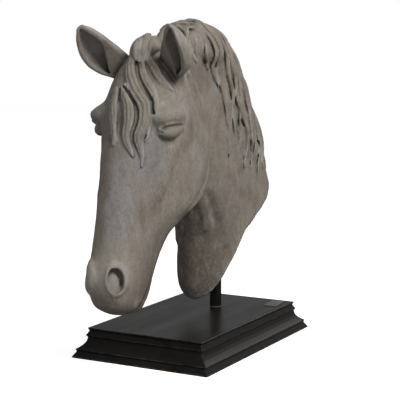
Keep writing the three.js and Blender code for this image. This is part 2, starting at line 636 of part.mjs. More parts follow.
// Merges edges, flattest places first, until the mesh has the wanted number of triangles.
function simplify({ positions, triangles }, wanted) {
  const count = positions.length / 3;
  const faces = Array.from({ length: count }, () => []);
  const quadrics = Array.from({ length: count }, () => new Float64Array(10));
  const stamps = new Int32Array(count);
  const get = (v) => [positions[3 * v], positions[3 * v + 1], positions[3 * v + 2]];
  const corners = (f) => [triangles[3 * f], triangles[3 * f + 1], triangles[3 * f + 2]];
  const normal = (p, q, r) => cross(add(q, p, -1), add(r, p, -1));
  let remaining = triangles.length / 3;
  for (let f = 0; f < remaining; f += 1) {
    const vs = corners(f);
    const [p, q, r] = vs.map(get);
    const n = normal(p, q, r);
    const area = Math.hypot(...n) || 1e-12;
    const [a, b, c] = n.map((v) => v / area);
    const d = -(a * p[0] + b * p[1] + c * p[2]);
    const terms = [a * a, a * b, a * c, a * d, b * b, b * c, b * d, c * c, c * d, d * d];
    vs.forEach((v) => {
      faces[v].push(f);
      terms.forEach((value, term) => { quadrics[v][term] += value * area; });
    });
  }
  const neighbours = (v) => new Set(faces[v].flatMap(corners).filter((w) => w !== v));
  const price = (q, [x, y, z]) => q[0] * x * x + 2 * q[1] * x * y + 2 * q[2] * x * z + 2 * q[3] * x
    + q[4] * y * y + 2 * q[5] * y * z + 2 * q[6] * y + q[7] * z * z + 2 * q[8] * z + q[9];
  const plan = (v, w) => {
    const q = quadrics[v].map((value, n) => value + quadrics[w][n]);
    const middle = get(v).map((value, k) => (value + positions[3 * w + k]) / 2);
    const pull = PLACE_PULL * (q[0] + q[4] + q[7]);
    const rows = [[q[0] + pull, q[1], q[2]], [q[1], q[4] + pull, q[5]], [q[2], q[5], q[7] + pull]];
    const aim = [pull * middle[0] - q[3], pull * middle[1] - q[6], pull * middle[2] - q[8]];
    const volume = dot(rows[0], cross(rows[1], rows[2]));
    const best = [
      dot(aim, cross(rows[1], rows[2])) / volume,
      dot(rows[0], cross(aim, rows[2])) / volume,
      dot(rows[0], cross(rows[1], aim)) / volume,
    ];
    const length = Math.hypot(...add(get(v), get(w), -1));
    const far = Math.hypot(...add(best, middle, -1)) > length;
    const place = far ? middle : best;
    return { place, cost: price(q, place) + LENGTH_COST * pull * length * length };
  };
  const heap = new Heap();
  const offer = (v, w) => {
    const [a, b] = v < w ? [v, w] : [w, v];
    heap.push([plan(a, b).cost, a, b, stamps[a] + stamps[b]]);
  };
  for (let f = 0; f < remaining; f += 1) {
    const [a, b, c] = corners(f);
    if (a < b) offer(a, b);
    if (b < c) offer(b, c);
    if (c < a) offer(c, a);
  }
  const turns = (v, other, place) => faces[v].some((f) => {
    const vs = corners(f);
    if (vs.includes(other)) return false;
    const before = normal(...vs.map(get));
    const after = normal(...vs.map((n) => (n === v ? place : get(n))));
    return dot(before, after) < TURN_LIMIT * Math.hypot(...before) * Math.hypot(...after);
  });
  const dead = new Uint8Array(count);
  while (remaining > wanted && heap.items.length) {
    const [, v, w, stamp] = heap.pop();
    if (dead[v] || dead[w] || stamps[v] + stamps[w] !== stamp) continue;
    const [near, far] = [neighbours(v), neighbours(w)];
    if ([...near].filter((n) => far.has(n)).length !== 2) continue;
    const { place } = plan(v, w);
    if (turns(v, w, place) || turns(w, v, place)) continue;
    positions.set(place, 3 * v);
    quadrics[w].forEach((value, n) => { quadrics[v][n] += value; });
    const gone = faces[w].filter((f) => corners(f).includes(v));
    faces[w].filter((f) => !gone.includes(f)).forEach((f) => {
      triangles.set(corners(f).map((n) => (n === w ? v : n)), 3 * f);
      faces[v].push(f);
    });
    gone.forEach((f) => corners(f).forEach((n) => {
      faces[n] = faces[n].filter((other) => other !== f);
    }));
    remaining -= gone.length;
    dead[w] = 1;
    faces[w] = [];
    stamps[v] += 1 + stamps[w];
    neighbours(v).forEach((n) => offer(v, n));
  }
  const kept = new Set(faces.flat());
  const numbers = new Map();
  const points = [];
  const indices = [];
  kept.forEach((f) => corners(f).forEach((v) => {
    if (!numbers.has(v)) {
      numbers.set(v, points.length / 3);
      points.push(...get(v));
    }
    indices.push(numbers.get(v));
  }));
  return { points, indices };
}

const wasm = await Module();
wasm.setup();

function toSolid(points, indices) {
  return new wasm.Manifold(new wasm.Mesh({
    numProp: 3,
    vertProperties: Float32Array.from(points),
    triVerts: Uint32Array.from(indices),
  }));
}

// Joins the equal corners of a three.js shape, so that it is one closed body.
function solidOf(geometry) {
  const source = geometry.index ? geometry.toNonIndexed() : geometry;
  const place = source.getAttribute('position');
  const numbers = new Map();
  const points = [];
  const indices = [];
  for (let i = 0; i < place.count; i += 1) {
    const p = [place.getX(i), place.getY(i), place.getZ(i)];
    const key = p.map((v) => Math.round(v * 1000)).join();
    if (!numbers.has(key)) {
      numbers.set(key, points.length / 3);
      points.push(...p);
    }
    indices.push(numbers.get(key));
  }
  const whole = [];
  for (let i = 0; i < indices.length; i += 3) {
    const [a, b, c] = indices.slice(i, i + 3);
    if (a !== b && b !== c && c !== a) whole.push(a, b, c);
  }
  return toSolid(points, whole);
}

function toGeometry(solid) {
  const mesh = solid.getMesh();
  const geometry = new THREE.BufferGeometry();
  const points = [];
  for (let i = 0; i < mesh.vertProperties.length; i += mesh.numProp) {
    points.push(mesh.vertProperties[i], mesh.vertProperties[i + 1], mesh.vertProperties[i + 2]);
  }
  geometry.setAttribute('position', new THREE.Float32BufferAttribute(points, 3));
  geometry.setIndex([...mesh.triVerts]);
  geometry.computeVertexNormals();
  return geometry;
}

// An upright round bar on the rod's line, from one height to another.
function bar(radius, from, to) {
  const shape = new THREE.CylinderGeometry(radius, radius, to - from, ROD_SIDES);
  shape.rotateX(Math.PI / 2);
  shape.translate(0, ROD_Y, (from + to) / 2);
  return solidOf(shape);
}

// The plinth: one mitred rectangular ring of corners for each line of its moulding.
function makePlinth() {
  const points = [];
  const indices = [];
  MOULDING.forEach(([out, depth]) => {
    const x = PLINTH_WIDTH / 2 + out * PLINTH_FLARE;
    const y = PLINTH_LENGTH / 2 + out * PLINTH_FLARE;
    [[-x, -y], [x, -y], [x, y], [-x, y]].forEach((corner) => {
      points.push(...corner, PLINTH_HEIGHT * (1 - depth));
    });
  });
  for (let ring = 0; ring < MOULDING.length - 1; ring += 1) {
    for (let side = 0; side < 4; side += 1) {
      const [a, b] = [4 * ring + side, 4 * ring + (side + 1) % 4];
      indices.push(a, a + 4, b, b, a + 4, b + 4);
    }
  }
  const last = points.length / 3 - 4;
  indices.push(0, 1, 2, 0, 2, 3);
  indices.push(last, last + 2, last + 1, last, last + 3, last + 2);
  return toSolid(points, indices);
}

function makeHorse() {
  const raw = polygonise(sculptureField, SPACE_LOW, SPACE_HIGH, INNER_PLACE);
  const { points, indices } = simplify(raw, SCULPTURE_TRIANGLES);
  return toSolid(points, indices);
}

const rodBottom = PLINTH_HEIGHT - ROD_FOOT;
const socket = bar(ROD_RADIUS + FIT_GAP, PLINTH_HEIGHT, ROD_TOP + FIT_GAP);
const foot = bar(ROD_RADIUS + FIT_GAP, rodBottom - FIT_GAP, 2 * PLINTH_HEIGHT);
const horse = makeHorse().subtract(socket);
const rod = bar(ROD_RADIUS, rodBottom, ROD_TOP);
const plinth = makePlinth().subtract(foot);
const plaque = new THREE.BoxGeometry(PLATE_WIDTH, PLATE_LENGTH, PLATE_THICKNESS);
plaque.rotateZ(PLATE_TURN * RAD);
plaque.translate(PLATE_X, PLATE_Y, PLINTH_HEIGHT + FIT_GAP + PLATE_THICKNESS / 2);

const group = new THREE.Group();

function addPiece(name, geometry, color, roughness, metalness) {
  const mesh = new THREE.Mesh(geometry, new THREE.MeshStandardMaterial({ color, roughness, metalness }));
  mesh.name = name;
  group.add(mesh);
}

addPiece('horse_head', toGeometry(horse), '#8a8076', 0.85, 0);
addPiece('rod', toGeometry(rod), '#16140f', 0.4, 0.6);
addPiece('plinth', toGeometry(plinth), '#1d1a18', 0.45, 0);
addPiece('plaque', toGeometry(solidOf(plaque)), '#6d6a64', 0.45, 0.9);

export default group;
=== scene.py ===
import math

import bpy
import numpy as np
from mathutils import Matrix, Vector


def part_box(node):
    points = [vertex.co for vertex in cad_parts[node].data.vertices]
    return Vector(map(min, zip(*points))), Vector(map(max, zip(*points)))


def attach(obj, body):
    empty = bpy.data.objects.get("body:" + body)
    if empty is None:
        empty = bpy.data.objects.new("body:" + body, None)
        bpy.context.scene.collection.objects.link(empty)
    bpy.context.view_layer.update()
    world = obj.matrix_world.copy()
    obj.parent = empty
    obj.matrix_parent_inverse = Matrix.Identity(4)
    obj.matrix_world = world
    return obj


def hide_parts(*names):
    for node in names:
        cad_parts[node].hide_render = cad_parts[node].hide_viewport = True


# A cast horse head on a black rod and a moulded black plinth with a small plate.
# The sculpture is worked out in millimetres, as a field of distances to its surface,
# and becomes a mesh in metres. Head and neck places are [t, angle]: t runs down the
# line of the body, and the angle in degrees goes round from the face or the crest.
# Lines are [y, z] and single features are [x, y, z], with x to the horse's left.

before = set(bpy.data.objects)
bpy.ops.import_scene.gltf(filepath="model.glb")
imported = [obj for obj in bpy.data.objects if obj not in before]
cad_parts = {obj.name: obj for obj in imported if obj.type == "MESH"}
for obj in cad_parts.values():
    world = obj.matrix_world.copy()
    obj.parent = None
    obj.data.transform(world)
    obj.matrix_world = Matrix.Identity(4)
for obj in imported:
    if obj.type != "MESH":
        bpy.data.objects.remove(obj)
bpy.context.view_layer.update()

MM = 0.001
RAD = math.pi / 180

# Fineness of the sculpture's surface
COARSE_STEPS = 8
GRID = 1.8
SCULPTURE_TRIANGLES = 190000
NEAR_BAND = 2.6

# Very small amounts that keep a division or a table's last step in bounds
TINY = 1e-9
SHORTFALL = 0.001

# The head's own frame in the (y, z) plane
HEAD_START = (-140, 600)
HEAD_LEAN = 17.8
HEAD_END_ROUNDING = 22

# Side view of the head: the line of the face and the line of the jaw
FACE_LINE = [
    (-160, 597), (-204, 578), (-238, 543), (-266, 500), (-285, 450), (-299, 400), (-312, 350),
    (-326, 290), (-338, 240), (-347, 205), (-350, 175), (-342, 145), (-325, 121), (-306, 109),
]
JAW_LINE = [
    (-110, 580), (-82, 520), (-64, 460), (-62, 400), (-74, 348), (-98, 303), (-134, 275),
    (-157, 246), (-182, 208), (-204, 173), (-221, 147), (-234, 128), (-252, 114), (-276, 107),
]

# Half widths of the head at shares of its depth, from the face to the jaw. A row starts
# with its t.
HEAD_DEPTHS = [0.08, 0.2, 0.35, 0.5, 0.65, 0.8, 0.93]
HEAD_WIDTHS = [
    [14, 16, 26, 32, 36, 36, 30, 18],
    [40, 24, 36, 45, 51, 53, 48, 32],
    [82, 40, 55, 64, 69, 71, 68, 52],
    [134, 45, 64, 75, 79, 81, 79, 66],
    [186, 42, 62, 73, 79, 84, 86, 76],
    [238, 38, 54, 66, 75, 82, 86, 78],
    [290, 34, 48, 57, 64, 72, 76, 66],
    [350, 30, 42, 50, 52, 51, 47, 36],
    [405, 29, 41, 48, 48, 45, 39, 27],
    [442, 28, 40, 47, 47, 44, 39, 28],
    [472, 26, 36, 42, 43, 42, 38, 28],
    [500, 23, 32, 37, 38, 37, 32, 21],
    [512, 17, 25, 29, 29, 27, 22, 12],
]

# The neck's own frame, its crest and throat lines, and its half widths in the same form
NECK_START = (-80, 590)
NECK_LEAN = -27.3
NECK_END_ROUNDING = 8
CREST_LINE = [
    (-152, 600), (-110, 617), (-60, 627), (0, 624), (65, 598), (125, 531), (172, 450),
    (214, 378), (247, 318), (261, 270), (268, 225),
]
THROAT_LINE = [
    (-170, 591), (-160, 556), (-120, 500), (-92, 440), (-66, 380), (-46, 330), (-29, 275),
    (-21, 220), (-23, 165), (-22, 115), (-5, 60),
]
NECK_DEPTHS = [0.06, 0.18, 0.35, 0.5, 0.65, 0.82, 0.94]
NECK_WIDTHS = [
    [-42, 4, 8, 10, 11, 10, 8, 4],
    [-34, 12, 18, 23, 25, 23, 18, 10],
    [-18, 18, 27, 35, 38, 36, 28, 14],
    [0, 20, 32, 42, 47, 46, 38, 20],
    [65, 25, 37, 47, 52, 50, 42, 24],
    [150, 28, 42, 53, 56, 53, 44, 26],
    [240, 33, 48, 59, 61, 57, 48, 30],
    [320, 43, 60, 68, 70, 65, 54, 34],
    [390, 48, 63, 70, 71, 66, 55, 36],
    [450, 50, 65, 72, 73, 68, 57, 37],
    [520, 50, 65, 72, 73, 68, 57, 37],
]

# Underside of the neck: a hollowed slope from the low front tip up to the crest
CUT_LINE = [
    (-80, 62), (-15, 76), (19, 122), (90, 207), (150, 243), (200, 265), (240, 290), (290, 338),
]
CUT_SLOPE = 35
CUT_ROUNDING = 22

# Ears: the middle of the base, the tip, the way the hollow faces and its widths
EAR_BASE = (50, -186, 548)
EAR_TIP = (98, -258, 628)
EAR_FACING = -8
EAR_BOW = 11
EAR_WIDTHS = [(0, 26), (0.2, 31), (0.42, 32.5), (0.65, 28), (0.85, 19), (1, 7)]
EAR_WALL = 8
EAR_DEPTH = 0.9
EAR_FRONT = 0.2
EAR_ROOT = 0.25
EAR_CURL = 6
EAR_FLAP = [(0, 0.9), (0.15, 0.5), (0.3, 0), (0.5, -0.5), (0.75, -0.88), (1, -1)]

# Mane: how thick it lies on the neck and how far round each side it reaches
MANE_DEPTH = 14
MANE_LEFT_EDGE = [
    (-60, 120), (0, 124), (30, 118), (60, 92), (100, 84), (150, 90), (200, 96), (240, 104),
    (280, 88), (310, 56), (345, 30), (370, 0), (400, -60), (440, -90),
]
MANE_RIGHT_EDGE = -58
MANE_START = -46
MANE_END = 385
MANE_SIDE_TAPER = 50
MANE_START_TAPER = 28
MANE_END_TAPER = 110

# Brows, eyes, eyelids and mouth. The last number of a tube's point is its radius.
BROW_MIDDLE = (65, -222, 466)
BROW_RADII = (25, 36, 19)
EYEBALL = [
    (62, -247, 441, 5), (70, -235, 440, 11), (73, -222, 441, 13), (74, -207, 443, 10),
    (78, -194, 446, 4),
]
UPPER_LID = [
    (64, -251, 446, 2), (72, -247, 453, 2.5), (80, -242, 456, 3), (85, -230, 457, 3),
    (86, -214, 457, 3), (84, -199, 455, 2),
]
LID_CREASES = [
    [(70, -250, 449, 1), (77, -250, 456, 1.4), (83, -246, 459, 1.6), (89, -234, 459, 1.6),
     (91, -220, 458, 1.5), (87, -198, 454, 1)],
    [(71, -246, 445, 1), (76, -244, 449, 1.4), (82, -237, 451, 1.4), (85, -222, 450, 1.4),
     (85, -205, 447, 1)],
]
EYE_CORNER = [(58, -256, 437, 2), (63, -252, 438, 3.5), (69, -248, 440, 2)]
BROW_WRINKLES = [
    [(79, -252, 468, 1.3), (80, -247, 472, 1.6), (83, -241, 474, 1.3)],
    [(86, -240, 464, 1.3), (87, -238, 469, 1.6), (85, -238, 474, 1.3)],
    [(89, -233, 465, 1.3), (89, -225, 462, 1.6), (90, -220, 467, 1.6), (88, -219, 474, 1.3)],
]
MOUTH = [
    (43, -242, 184, 1), (43, -251, 166, 2), (43, -259, 154, 2.4), (43, -266, 146, 2.4),
    (42, -274, 137, 2.4), (41, -283, 129, 2.4), (38, -291, 124, 2.4), (33, -298, 120, 2.4),
    (26, -304, 117, 2.4), (17, -309, 114, 2.4), (0, -313, 110, 2.4),
]

# Soft ridges of bone and muscle, and the hollow behind the cheek
SOFT_RIDGES = [
    [(65, -214, 407, 9), (61, -221, 380, 9), (56, -230, 354, 8), (52, -241, 328, 6)],
    [(70, -178, 500, 7), (73, -175, 473, 8), (74, -173, 449, 8), (73, -182, 423, 7)],
    [(39, -9, 311, 8), (43, 2, 290, 9), (46, 12, 265, 9), (50, 23, 232, 8), (51, 25, 204, 6)],
    [(20, -26, 300, 6), (26, -17, 270, 7), (29, -10, 236, 6)],
]
CHEEK_HOLLOW = [
    (69, -134, 530, 14), (80, -127, 496, 17), (84, -115, 468, 18), (87, -97, 438, 18),
    (89, -89, 408, 18), (89, -86, 378, 18), (90, -101, 336, 18), (88, -122, 314, 17),
    (81, -149, 291, 13),
]

# Nostrils: each a hole with a fold inside it, on a soft mound that faces outward
NOSTRIL_MIDDLE = (27, -337, 187)
NOSTRIL_FACING = (0.72, -0.69, 0.06)
NOSTRIL_LEAN = (-0.12, 0, 1)
NOSTRIL_MOUND = (20, 29, 11)
NEAR_HOLE = (-2, -1, 14, 22)
FAR_HOLE = (6, -1, 8, 17)
NOSTRIL_DEPTH = 9
NOSTRIL_FOLD = (-3, -7, -8)
NOSTRIL_FOLD_RADII = (12, 19, 8)

# The tuft on the poll, in front of the mane: two rolls of hair and the strands on them
TUFT_ROLLS = [
    [(4, -170, 592, 15), (-2, -190, 593, 17), (-6, -205, 584, 15), (-8, -215, 566, 11)],
    [(15, -174, 588, 11), (13, -192, 589, 13), (12, -206, 578, 11), (11, -214, 564, 9)],
]
TUFT_STRANDS = [
    [(-6, -190, 606, 3), (-5, -210, 598, 4.5), (-3, -219, 588, 5), (-2, -222, 577, 5),
     (3, -227, 567, 3)],
    [(-2, -190, 610, 3), (-1, -207, 601, 5), (2, -217, 588, 5.5), (4, -219, 577, 5),
     (10, -229, 565, 3)],
    [(3, -180, 612, 4), (5, -194, 608, 6), (8, -206, 596, 6.5), (11, -215, 585, 6),
     (13, -220, 572, 5), (17, -229, 562, 3)],
    [(11, -172, 608, 3), (13, -186, 604, 5), (20, -204, 592, 5.5), (20, -211, 581, 5),
     (20, -219, 568, 3)],
]

# How widely the forms flow into each other
BROW_BLEND = 22
EYE_BLEND = 3
LID_BLEND = 3
FINE_BLEND = 2
RIDGE_BLEND = 16
HOLLOW_BLEND = 3
GAP_BLEND = 2
GAP_REACH = 12
GAP_LIFT = 2
MOUND_BLEND = 10
HOLE_BLEND = 6
MOUTH_BLEND = 2
CHEEK_BLEND = 5
TUFT_BLEND = 2
CUT_REACH = 20
EAR_BLEND = 6
FLAP_BLEND = 2
EAR_EDGE_BLEND = 3

# Unevenness of the surface: the crossing waves' directions and starts, then wave length and
# depth of each kind
WAVES = [(0.9, 0.3, 0.5, 0), (-0.4, 0.8, 0.6, 1.3), (0.5, -0.7, 0.8, 2.1), (0.8, 0.6, -0.3, 0.4)]
BROAD_LUMPS = (46, 0.7)
SMALL_LUMPS = (15, 0.25)
CHISEL_MARKS = (6, 0.6)
CHISEL_REACH = 34

# How far from the surface its hollows and ridges are felt, for the painted shade in hollows and the
# painted highlight on ridges
HOLLOW_REACHES = (2.5, 5, 12, 30)
RIDGE_REACHES = (3, 6)

# Where the colour changes: painted shade along the mouth slit and under the throat, a painted cool
# highlight in patches below the eye and down the nose, and painted shade in hollows and painted
# highlight on ridges made weaker on the muzzle. A reach is where it ends and over what width it
# fades, a rise is where it starts and over what width, and a patch is a middle and radii.
MUZZLE_MIDDLE = (0, -325, 150)
MUZZLE_REACH = (105, 70)
MUZZLE_HOLLOWS = 0.7
MUZZLE_RIDGES = 0.25
NOSTRIL_REACH = (36, 16)
SLIT_REACH = (1.2, 1.2)
THROAT_ANGLE_RISE = (125, 45)
THROAT_PLACE_RISE = (200, 120)
ROUGH_RISE = (-55, 50)
ROUGH_STEEPNESS = 0.5
FACE_PATCH = [(50, -262, 395), (40, 40, 62)]
NOSE_PATCH = [(18, -322, 330), (26, 40, 130)]
PATCH_EDGE = (1.3, 1)

# Locks of hair: half width, then places from root to tip
FORELOCK = [
    [12.5, (48, -8), (63, -7), (84, -1), (107, 7), (123, 13), (134, 18), (146, 22), (160, 23),
     (173, 23), (184, 22), (196, 20), (206, 20), (216, 22), (226, 24), (237, 26), (252, 27)],
    [11.5, (110, -1), (128, 2), (144, 7), (160, 9), (175, 10), (190, 10), (203, 10), (216, 12),
     (227, 15), (238, 18)],
    [9.5, (116, -11), (133, -9), (146, -9), (160, -7), (174, -5), (187, -3), (200, -2), (211, -1),
     (222, -2)],
    [8.5, (50, 8), (64, 11), (84, 16), (101, 22), (112, 27), (123, 30), (133, 32), (143, 33),
     (151, 35), (159, 39), (165, 43)],
    [8.5, (48, 16), (59, 21), (68, 27), (81, 32), (90, 38), (97, 46), (103, 55)],
    [4.5, (158, 25), (166, 26), (176, 28), (186, 28), (197, 28), (206, 26)],
]
FORELOCK_GAPS = [
    [4, (98, -12), (115, -7), (129, -4), (146, -2), (163, 0), (180, 1), (196, 2), (210, 4),
     (221, 6), (230, 9)],
    [3.2, (100, -8), (112, -2), (122, 4), (134, 9), (144, 13), (155, 15), (165, 16), (176, 16),
     (186, 15), (199, 14), (210, 15), (218, 17), (228, 20), (238, 23), (249, 24)],
    [4, (64, 4), (82, 8), (100, 14), (111, 18), (121, 22), (128, 26), (134, 28), (144, 29),
     (152, 30), (158, 34), (163, 39)],
    [3.8, (60, 15), (72, 19), (84, 24), (95, 29), (100, 34), (104, 40), (107, 46)],
]
MANE = [
    [9, (-36, 8), (-32, 50), (-25, 92), (-4, 112), (22, 122)],
    [10, (-34, 0), (-26, 36), (-4, 70), (20, 96), (52, 108)],
    [10, (-32, -4), (-20, 26), (6, 54), (36, 80), (70, 96), (100, 98)],
    [11, (-30, -10), (-14, 18), (14, 44), (44, 66), (84, 84), (130, 90), (182, 104)],
    [10, (-24, -4), (0, 24), (34, 50), (60, 76), (105, 76), (142, 80), (186, 98), (212, 112),
     (242, 122)],
    [11, (-18, 0), (10, 18), (44, 36), (80, 56), (124, 62), (168, 80), (216, 90)],
    [12, (-12, -8), (14, 8), (46, 22), (76, 42), (112, 48), (150, 62), (208, 62), (254, 76),
     (286, 92)],
    [11, (-4, 0), (30, 12), (66, 26), (100, 34), (140, 48), (190, 70), (240, 92)],
    [12, (4, -8), (40, 4), (84, 14), (130, 28), (180, 36), (230, 56), (284, 68)],
    [11, (16, 0), (56, 6), (100, 12), (150, 26), (200, 44), (250, 50), (300, 74)],
    [12, (24, -10), (66, 0), (112, 12), (160, 18), (210, 32), (262, 34), (314, 50)],
    [11, (44, -4), (90, 4), (140, 8), (190, 20), (240, 40), (290, 44), (332, 58)],
    [12, (58, -10), (104, -4), (150, 4), (200, 8), (252, 20), (300, 26), (342, 38)],
    [11, (84, -8), (130, -4), (180, 2), (230, 12), (280, 14), (330, 22), (354, 30)],
    [11, (112, -12), (160, -8), (210, -4), (260, 2), (310, 6), (358, 14)],
    [10, (-32, -14), (-18, -40), (14, -60), (56, -70), (104, -68)],
    [11, (-14, -14), (16, -32), (60, -46), (110, -52), (164, -60)],
    [11, (20, -14), (60, -24), (110, -34), (170, -38), (230, -46)],
    [11, (64, -14), (110, -20), (170, -24), (230, -26), (292, -34)],
    [11, (120, -14), (170, -16), (230, -16), (290, -14), (346, -18)],
]
LOCK_SEGMENTS = 24
TUBE_POINTS = 16
LOCK_FLATNESS = 0.66
GAP_FLATNESS = 2.2
LOCK_LIFT = 2.5
LOCK_BLEND = 2
LOCK_ROOT = 0.2
LOCK_TIP_WIDTH = 0.18
LOCK_FULLNESS = 0.8
STRAND_DEPTH = 0.24
FORELOCK_STRANDS = 3
MANE_STRANDS = 1
LEFT_LOCKS = 15

# Strands of the mane follow its locks. The flow is how the locks lie over a table of places
# and angles. Grooves between strands fade in and out between the four strand widths.
PARTING = -12
FLOW_STEP = 2
FLOW_MARGIN = 20
FLOW_EDGE = 140
FLOW_POINTS = 60
LEAST_FALL = 0.01
LEAST_STEEPNESS = 0.01
STRAND_COUNTS = (1, 2, 4, 8)
STRAND_WIDTHS = (2.5, 5, 18, 30)
STRAND_GROOVE = 0.42
DEEPEST_GROOVE = 3.2
STRAND_SWAY = (0.2, 19, 1.7)
STRAND_FADE = 20
STRAND_END_FADE = 60

# Colours of the cast
TAUPE = (0.24, 0.209, 0.171)
BROWN = (0.15, 0.123, 0.096)
MAUVE = (0.214, 0.185, 0.165)
GREEN_GREY = (0.225, 0.211, 0.168)
COOL_GREY = (0.33, 0.316, 0.302)
# Blue grey for a painted cool highlight below the eye and down the nose
BLUE_GREY_HIGHLIGHT = (0.2, 0.203, 0.216)
# Dark brown for random flecks, and for painted shade in the hollows and along the mouth slit
DARK_FLECK_AND_SHADE = (0.02, 0.016, 0.012)
# Painted shade for the underside of the lower neck
THROAT_SHADE = (0.09, 0.072, 0.058)
MUZZLE_TAUPE = (0.4, 0.345, 0.28)

# Colours of the plinth, the rod and the plate
WOOD_BLACK = (0.0055, 0.0048, 0.004)
WOOD_GREY = (0.0108, 0.0092, 0.0074)
# Lighter brown for wear and a painted highlight along the plinth's lips
WOOD_WEAR_AND_SHEEN = (0.085, 0.068, 0.06)
ROD_BLACK = (0.004, 0.0036, 0.0033)
ROD_GREY = (0.009, 0.0085, 0.008)
ROD_WORN = (0.16, 0.155, 0.15)
PEWTER_DARK = (0.05, 0.047, 0.045)
PEWTER_LIGHT = (0.12, 0.115, 0.11)
PEWTER_WORN = (0.3, 0.29, 0.28)

# Plinth: how far its moulding stands out of the top edge, as shares of the flare, at
# depths below the top that are shares of its height
MOULDING = [
    (0, 0), (0, 0.03), (-0.12, 0.1), (0.14, 0.27), (0, 0.31), (0.02, 0.38), (0.1, 0.48),
    (0.31, 0.58), (0.56, 0.66), (0.79, 0.72), (0.69, 0.79), (1, 0.96), (1, 1),
]
PLINTH_TOP = (250, 408)
PLINTH_FLARE = 22.3
EDGE_ROUNDING = 1.2
TOP_BORDER = 3.6
CORNER_ROUNDING = 2.0
ROUNDING_STEPS = 4
LONGEST_ROUNDING = 0.45
# Corners of the moulding whose lips get wear and a painted highlight
SHEEN_AND_WEAR_CORNERS = {1, 2, 4, 10, 12}

# Rod: its sides, and the heights above the plinth of the ring where its paint is worn
ROD_SIDES = 64
ROD_RING = (0.4, 1.6, 2.2)
ROD_WEAR = [0, 0, 1, 1, 0, 0]

# Plate: its size, its place and turn on the plinth, and how far in and down its edge slopes
PLATE_SIZE = (26, 56)
PLATE_PLACE = (96, 166)
PLATE_TURN = 5
PLATE_CORNER = 1.0
PLATE_EDGE = (0.5, 0.4)
PLATE_WEAR = [0.3, 1, 1]

# Stage and camera, in metres. The camera is shown an even white round the object, while
# a darker floor and a softer sky light it. Lights are name, place, size, power and colour.
WORLD_LIGHT = 0.36
BACKGROUND = 1.0
FLOOR_HALF = 8
FLOOR_COLOUR = (0.85, 0.85, 0.85)
FLOOR_BOUNCE = (0.3, 0.3, 0.3)
FLOOR_GLOW = 0.68
LIGHT_AIM = (0, -0.1, 0.35)
LIGHTS = [
    ("key", (2.0, -0.95, 2.1), 1.3, 66, (1, 0.99, 0.97)),
    ("fill", (0.2, -2.4, 1.5), 1.4, 4, (0.9, 0.96, 1)),
    ("rim", (0.3, 2.3, 1.6), 1.2, 8, (1, 1, 1)),
]
CAMERA_PLACE = (1.150192, -2.089987, 0.592953)
CAMERA_AIM = (0.057299, -0.087395, 0.301053)
CAMERA_LENS = 108.8
SENSOR = 36


def mix(a, b, s):
    return a + (b - a) * s


def smooth(v):
    v = np.clip(v, 0, 1)
    return v * v * (3 - 2 * v)


def blend_min(a, b, k):
    """The smaller of two distances, rounded where they meet over a width k."""
    h = np.clip(0.5 + 0.5 * (b - a) / k, 0, 1)
    return mix(b, a, h) - k * h * (1 - h)


def blend_max(a, b, k):
    return -blend_min(-a, -b, k)


def curve(pairs):
    """A smooth curve through (x, y) pairs."""
    xs, ys = np.array(pairs, float).T
    gaps = np.diff(xs)
    rises = np.diff(ys) / gaps
    slopes = np.empty(len(xs))
    slopes[0], slopes[-1] = rises[0], rises[-1]
    slopes[1:-1] = (rises[:-1] * gaps[1:] + rises[1:] * gaps[:-1]) / (gaps[1:] + gaps[:-1])

    def value(x):
        i = np.clip(np.searchsorted(xs, x) - 1, 0, len(xs) - 2)
        u = np.clip((x - xs[i]) / gaps[i], 0, 1)
        v = 1 - u
        start = (1 + 2 * u) * v * v * ys[i] + u * v * v * gaps[i] * slopes[i]
        return start + u * u * (3 - 2 * u) * ys[i + 1] - u * u * v * gaps[i] * slopes[i + 1]

    return value


def step_in(value, count):
    """Which step of a table of count rows a value lies in, and how far into it."""
    value = np.clip(value, 0, count - 1 - SHORTFALL)
    step = value.astype(int)
    return step, value - step


def unit(v):
    v = np.asarray(v, float)
    return v / np.linalg.norm(v, axis=-1, keepdims=True)


